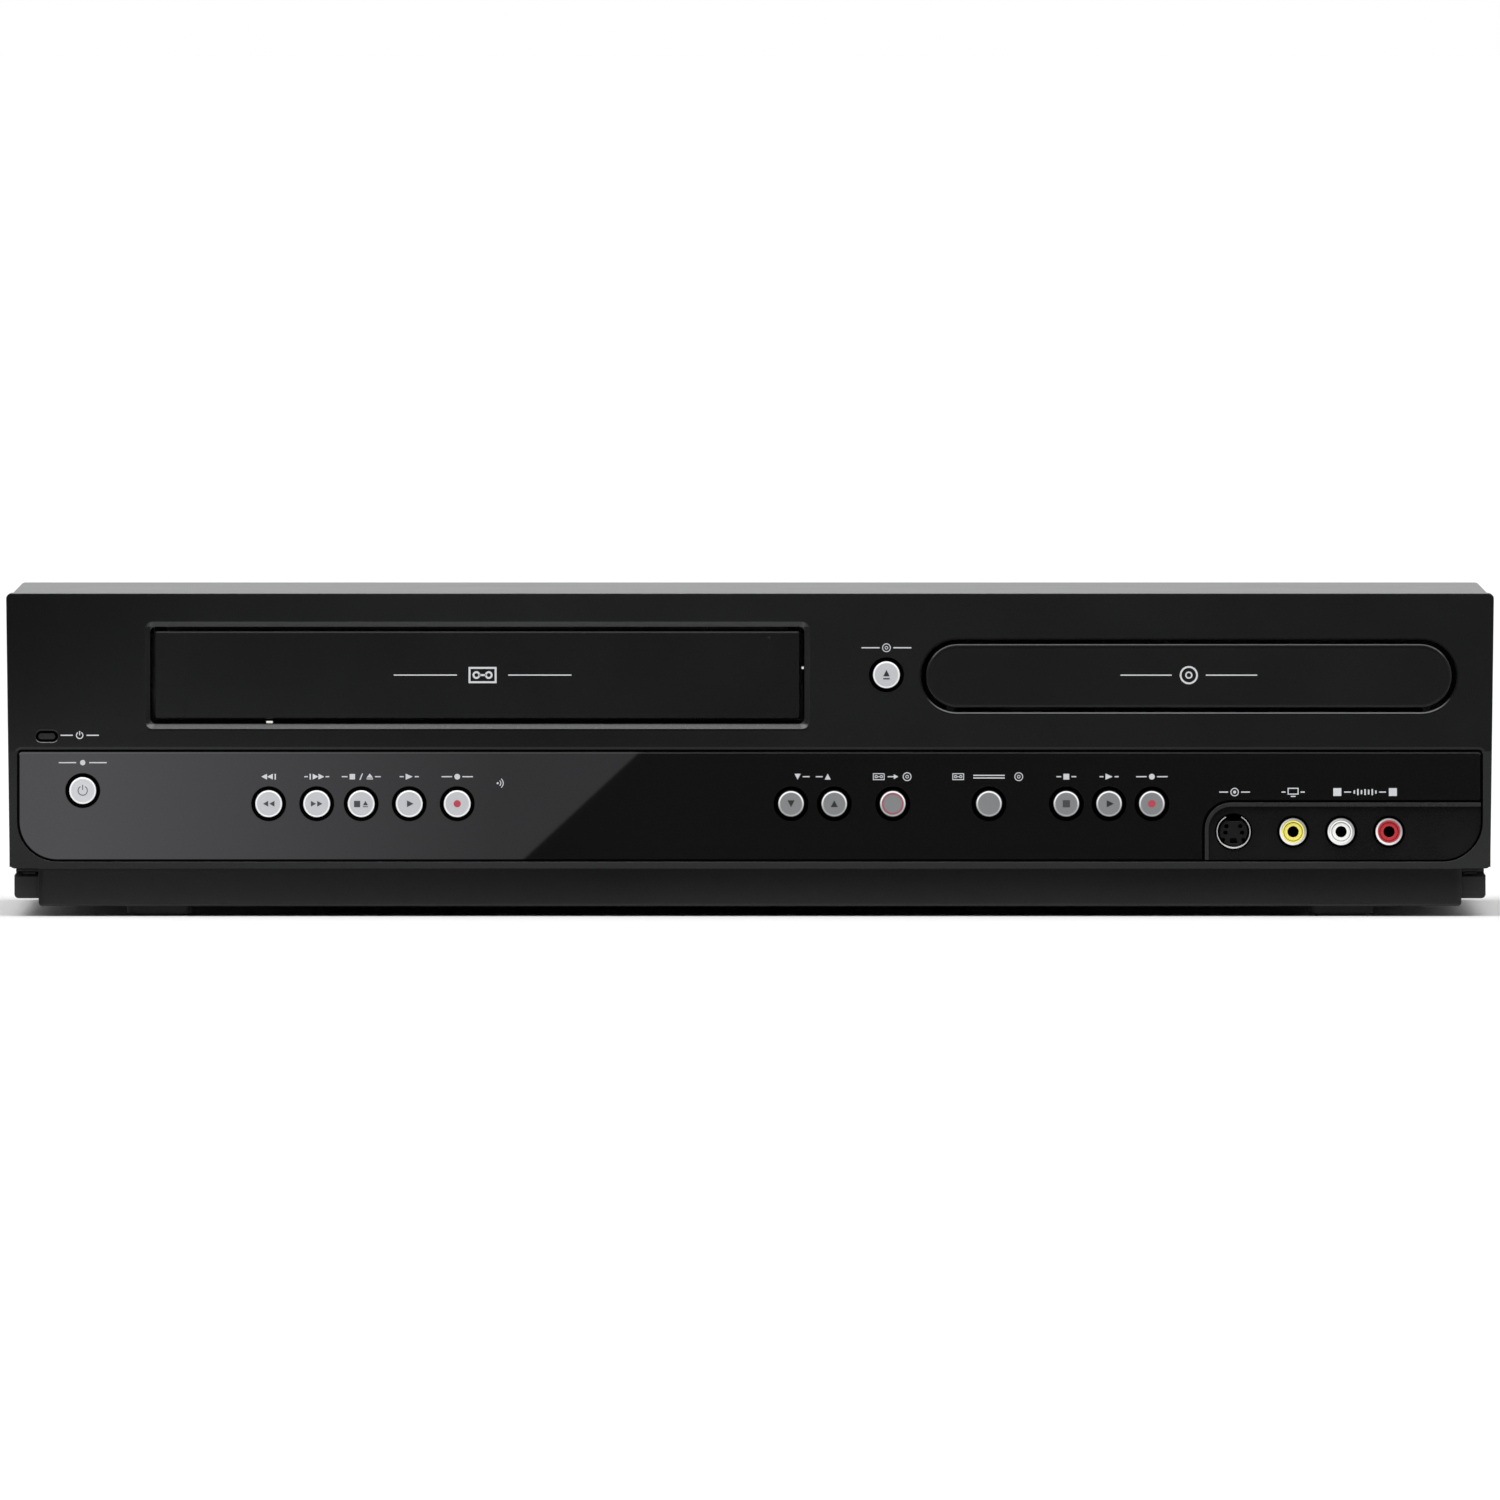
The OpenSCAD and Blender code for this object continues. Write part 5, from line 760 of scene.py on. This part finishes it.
def print_on(name, body, slot, y, loops):
    """Prints outlines, as thin closed solids, on a surface at y that faces the front."""
    bm = bmesh.new()
    for loop in loops:
        front, back = ([bm.verts.new((px * MM, side * MM, pz * MM)) for px, pz in loop]
                       for side in (y - INK, y + BITE))
        bm.faces.new(front)
        bm.faces.new(list(reversed(back)))
        for i in range(len(loop)):
            j = (i + 1) % len(loop)
            bm.faces.new((front[j], front[i], back[i], back[j]))
    bmesh.ops.recalc_face_normals(bm, faces=bm.faces)
    ride_mesh(name, bm, FINISHES[slot], body)


def small_block(name, body, slot, low, high, rounding):
    """A small block with rounded edges, between two corners in millimetres."""
    bm = bmesh.new()
    bmesh.ops.create_cube(bm, size=1.0)
    for vert in bm.verts:
        vert.co = [(low[i] + (vert.co[i] + 0.5) * (high[i] - low[i])) * MM for i in range(3)]
    bmesh.ops.bevel(bm, geom=bm.edges[:], offset=rounding * MM, segments=2, profile=0.5, affect="EDGES")
    ride_mesh(name, bm, FINISHES[slot], body)


# two small nibs in the gap round the cassette door: under it near its left end, and at its right end
MOUTH_RIGHT = MOUTH_X + MOUTH_HALF_W
NIB, NIB_ROUNDING, NIB_FRONT = 0.75, 0.2, -162.3
small_block("door_stop_nib", "cabinet", "white_plastic", (-141.5, NIB_FRONT, MOUTH_LOW - BITE),
            (-139.5, NIB_FRONT + 1.0, MOUTH_LOW + NIB), NIB_ROUNDING)
small_block("door_side_nib", "cabinet", "white_plastic", (MOUTH_RIGHT - NIB, NIB_FRONT, 72.3),
            (MOUTH_RIGHT + BITE, NIB_FRONT + 0.7, 73.1), NIB_ROUNDING)

# symbols on the button caps, drawn about the cap's centre
CAP_SYMBOLS = {
    "standby_button": ("grey_ink", arc(0, 0, 1.35, 0.24, 120, 420) + bar(-0.12, 0.2, 0.12, 1.7)),
    "tape_rewind_button": ("grey_ink", pair("left", (1.5, 1.7), -0.9, 0.95)),
    "tape_forward_button": ("grey_ink", pair("right", (1.5, 1.7), -0.95, 0.9)),
    "tape_stop_button": ("grey_ink", bar(-2.1, -1.0, -0.3, 0.85) + triangle(1.25, 0.2, 1.3, 1.5, "up")
                         + bar(0.5, -1.0, 2.0, -0.75)),
    "tape_play_button": ("grey_ink", triangle(0.3, 0, 1.9, 2.0, "right")),
    "tape_record_button": ("red_ink", dot(0, 0, 1.05)),
    "tracking_down_button": ("dark_ink", triangle(0, 0, 2.0, 2.1, "down")),
    "tracking_up_button": ("dark_ink", triangle(0, 0, 2.0, 2.1, "up")),
    "dubbing_button": ("rose_ink", arc(0, 0, 2.92, 0.46, steps=64)),
    "disc_stop_button": ("grey_ink", bar(-1.05, -1.05, 1.05, 1.05)),
    "disc_play_button": ("dark_ink", triangle(0.35, 0, 2.1, 2.1, "right")),
    "disc_record_button": ("red_ink", dot(0, 0, 1.1)),
    "drawer_button": ("dark_ink", triangle(0, 0.5, 1.9, 1.9, "up") + bar(-0.95, -1.35, 0.95, -0.95)),
}
for button, (slot, shape) in CAP_SYMBOLS.items():
    x, _, z = middle(button)
    cap_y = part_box(button)[0][1] / MM
    print_on(button.replace("_button", "_symbol"), button, slot, cap_y, shifted(shape, x, z))


# ---- marks printed on the front: small pictures and rules where a player has its labels ----
LABEL_Z = 40.9             # height of the row of marks over the control buttons
BADGE_Z = 70.6             # height of the marks on the door and the drawer
SOCKET_MARK_Z = 36.4
DRAWER_MARK_Z = 78.6
STANDBY_MARK_Z = 45.0
POWER_MARK = (-196.0, 53.0)
SIGNAL_MARK = (-73.0, 39.0)

# small signs over the buttons, drawn about their middle and as wide as a word would be
PLAY_SIGN = flanked(triangle(0, 0, 2.1, 1.8, "right"), 1.6, 2.8)
RECORD_SIGN = flanked(dot(0, 0, 0.85), 1.5, 4.6)
SLASH = [[(-0.55, -0.95), (-0.2, -0.95), (0.55, 0.95), (0.2, 0.95)]]
SIGNS = {
    "tape_rewind_button": pair("left", (1.7, 1.7), -1.35, 0.35) + bar(1.7, -0.85, 2.1, 0.85),
    "tape_forward_button": flanked(pair("right", (1.7, 1.7), -0.35, 1.35) + bar(-2.1, -0.85, -1.7, 0.85),
                                   2.6, 3.65),
    "tape_stop_button": flanked(bar(-3.4, -0.8, -1.8, 0.8) + SLASH + triangle(2.5, 0.3, 1.2, 1.9, "up")
                                + bar(1.55, -0.8, 3.45, -0.5), 4.0, 5.7),
    "tape_play_button": PLAY_SIGN,
    "tape_record_button": RECORD_SIGN,
    "dubbing_button": (cassette_mark(-4.1, 0, 3.4) + bar(-1.5, -0.17, 0.3, 0.17)
                       + triangle(0.95, 0, 1.3, 1.5, "right") + disc_mark(4.2, 0, 1.15)),
    "source_button": (cassette_mark(-9.0, 0, 3.4) + bar(-4.6, -0.55, 4.6, -0.21)
                      + bar(-4.6, 0.21, 4.6, 0.55) + disc_mark(8.7, 0, 1.15)),
    "disc_stop_button": flanked(bar(-0.85, -0.85, 0.85, 0.85), 1.5, 2.9),
    "disc_play_button": PLAY_SIGN,
    "disc_record_button": RECORD_SIGN,
}
POWER_SIGN = flanked(arc(0, 0, 0.95, 0.3, 120, 420, 20) + bar(-0.15, 0, 0.15, 1.25), 2.0, 5.6)
DRAWER_SIGN = flanked(disc_mark(0, 0, 1.15), 2.0, 7.3)
STANDBY_SIGN = flanked(dot(0, 0, 0.8, 16), 1.9, 7.0)
SVIDEO_SIGN = flanked(dot(0, 0, 0.45, 12) + arc(0, 0, 1.1, 0.28, steps=20), 1.9, 4.5)
VIDEO_SIGN = flanked(screen_mark(0, 0, 3.2), 2.2, 3.4)
TRACKING_SIGN = flanked(triangle(-4.4, 0, 1.7, 1.8, "down") + triangle(4.4, 0, 1.7, 1.8, "up"), 0.9, 2.9)

tracking_x = (middle("tracking_down_button")[0] + middle("tracking_up_button")[0]) / 2
print_on("face_marks", "cabinet", "white_ink", FACE_Y,
         shifted(POWER_SIGN, *POWER_MARK) + shifted(DRAWER_SIGN, middle("drawer_button")[0], DRAWER_MARK_Z))
panel_marks = (shifted(STANDBY_SIGN, middle("standby_button")[0], STANDBY_MARK_Z)
               + signal_mark(*SIGNAL_MARK)
               + shifted(SVIDEO_SIGN, SVIDEO_X + 0.3, SOCKET_MARK_Z)
               + shifted(VIDEO_SIGN, PHONO_X, SOCKET_MARK_Z)
               + shifted(sound_mark(), PHONO_X + 1.5 * PHONO_PITCH, SOCKET_MARK_Z)
               + shifted(TRACKING_SIGN, tracking_x, LABEL_Z))
for button, shape in SIGNS.items():
    panel_marks += shifted(shape, middle(button)[0], LABEL_Z)
print_on("panel_marks", "cabinet", "white_ink", FACE_Y, panel_marks)
for name, body, node, badge in (
        ("door_marks", "cassette_door", "cassette_door", flanked(cassette_mark(0, 0, 8.2), 7.5, 26.0)),
        ("tray_marks", "disc_tray", "tray_front", flanked(disc_mark(0, 0, 2.4), 5.0, 20.0))):
    print_on(name, body, "white_ink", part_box(node)[0][1] / MM, shifted(badge, middle(node)[0], BADGE_Z))


# ---- light, floor and world; lengths in metres ----
WORLD_LIGHT = 0.75         # what lights the player; camera, glossy and transmission rays see pure white


def soft_world():
    world = bpy.data.worlds.new("studio")
    world.use_nodes = True
    nodes, links = world.node_tree.nodes, world.node_tree.links
    background = nodes["Background"]
    background.inputs["Color"].default_value = (1.0, 1.0, 1.0, 1.0)
    path = nodes.new("ShaderNodeLightPath")
    seen = path.outputs["Is Camera Ray"]
    for ray in ("Is Glossy Ray", "Is Transmission Ray"):
        either = nodes.new("ShaderNodeMath")
        either.operation = "MAXIMUM"
        links.new(seen, either.inputs[0])
        links.new(path.outputs[ray], either.inputs[1])
        seen = either.outputs[0]
    level = nodes.new("ShaderNodeMapRange")
    level.inputs["To Min"].default_value = WORLD_LIGHT
    level.inputs["To Max"].default_value = 1.0
    links.new(seen, level.inputs["Value"])
    links.new(level.outputs[0], background.inputs["Strength"])
    bpy.context.scene.world = world


def sun(name, strength, spread, direction):
    data = bpy.data.lights.new(name, "SUN")
    data.energy = strength
    data.angle = math.radians(spread)
    lamp = bpy.data.objects.new(name, data)
    lamp.rotation_euler = Vector(direction).to_track_quat("-Z", "Y").to_euler()
    bpy.context.scene.collection.objects.link(lamp)


def plain_quad(name, corners, material):
    mesh = bpy.data.meshes.new(name)
    mesh.from_pydata(corners, [], [(0, 1, 2, 3)])
    mesh.materials.append(material)
    piece = bpy.data.objects.new(name, mesh)
    bpy.context.scene.collection.objects.link(piece)
    return piece


def level_corners(z, half_w, y_front, y_back):
    return [(-half_w, y_front, z), (half_w, y_front, z), (half_w, y_back, z), (-half_w, y_back, z)]


def card(name, corners, left, right=None, ends=(-1.0, 1.0), tint=(1.0, 1.0, 1.0)):
    """A glowing card that only glossy surfaces see. It glows from left's strength to right's
    between two places across, or evenly."""
    s = Shader(name)
    s.nodes.remove(s.surface)
    glow = s.add("ShaderNodeEmission", {"Color": (*tint, 1.0)})
    strength = s.span(s.split(s.place)["X"], *ends, left, left if right is None else right)
    s.join(strength, glow.inputs["Strength"])
    s.join(glow.outputs[0], s.nodes["Material Output"].inputs["Surface"])
    piece = plain_quad(name, corners, s.material)
    piece.visible_camera = False
    piece.visible_diffuse = False
    piece.visible_shadow = False
    piece.visible_transmission = False


soft_world()
sun("key", 1.3, 50.0, (0.25, 0.75, -0.9))
sun("fill", 0.5, 60.0, (-0.5, 0.6, -0.7))

FLOOR_REACH = 200.0
floor_shader = Shader("floor")
floor_shader.constant("Base Color", (0.93, 0.93, 0.93, 1.0))
floor_shader.constant("Roughness", 0.9)
floor_shader.constant("Specular IOR Level", 0.0)
plain_quad("floor", level_corners(0, FLOOR_REACH, -FLOOR_REACH, FLOOR_REACH), floor_shader.material)

# a dark flag before the player, which its whole front reflects
FLAG_HALF_W, FLAG_TOP = 0.9, 0.5
FLAG_Y = FACE_Y * MM - 0.22
FLAG_LEFT, FLAG_RIGHT, FLAG_ENDS = 0.012, 0.043, (-0.25, -0.03)
card("dark_flag", [(-FLAG_HALF_W, FLAG_Y, 0.0), (FLAG_HALF_W, FLAG_Y, 0.0),
                   (FLAG_HALF_W, FLAG_Y, FLAG_TOP), (-FLAG_HALF_W, FLAG_Y, FLAG_TOP)],
     FLAG_LEFT, FLAG_RIGHT, FLAG_ENDS)

# a wide soft box overhead gives the edges that face up their bright lines
BOX_Z, BOX_HALF_W, BOX_FRONT, BOX_BACK, BOX_STRENGTH = 1.35, 1.6, -1.5, -0.1, 5.2
card("overhead_box", level_corners(BOX_Z, BOX_HALF_W, BOX_FRONT, BOX_BACK), BOX_STRENGTH)

# a bright card before the flag; its right edge leans, from (637, 754) to (525, 858) in the photograph
CARD_GAP = 0.2             # from the face
CARD_OVER = 2.0            # how far the card passes the panel's edges, in millimetres
CARD_LEFT = -260.0
LEAN_TOP, LEAN_LOW = (-33.0, 47.5), (-65.8, 17.1)
CARD_BRIGHT, CARD_DIM, CARD_ENDS, CARD_TINT = 0.68, 0.28, (-0.2, -0.0746), (0.95, 0.95, 1.0)


def on_card(x, z):
    """Where the camera's view of the face point (x, z) mm meets the card, once mirrored."""
    spread = CARD_GAP / CAMERA_DISTANCE
    return (x * MM * (1 + spread), FACE_Y * MM - CARD_GAP, z * MM + (z * MM - CAMERA_HEIGHT) * spread)


slope = (LEAN_TOP[0] - LEAN_LOW[0]) / (LEAN_TOP[1] - LEAN_LOW[1])
card("bright_card", [on_card(CARD_LEFT, PANEL_LOW - CARD_OVER),
                     on_card(LEAN_LOW[0] - slope * CARD_OVER, LEAN_LOW[1] - CARD_OVER),
                     on_card(LEAN_TOP[0] + slope * CARD_OVER, LEAN_TOP[1] + CARD_OVER),
                     on_card(CARD_LEFT, PANEL_HIGH + CARD_OVER)],
     CARD_BRIGHT, CARD_DIM, CARD_ENDS, CARD_TINT)

# a dark sheet on the floor before the player keeps the skirt and the ledge from mirroring the white floor
SHEET_Z, SHEET_BACK, SHEET_STRENGTH = 0.0004, FACE_Y * MM - 0.045, 0.25
card("dark_sheet", level_corners(SHEET_Z, FLAG_HALF_W, FLAG_Y, SHEET_BACK), SHEET_STRENGTH)
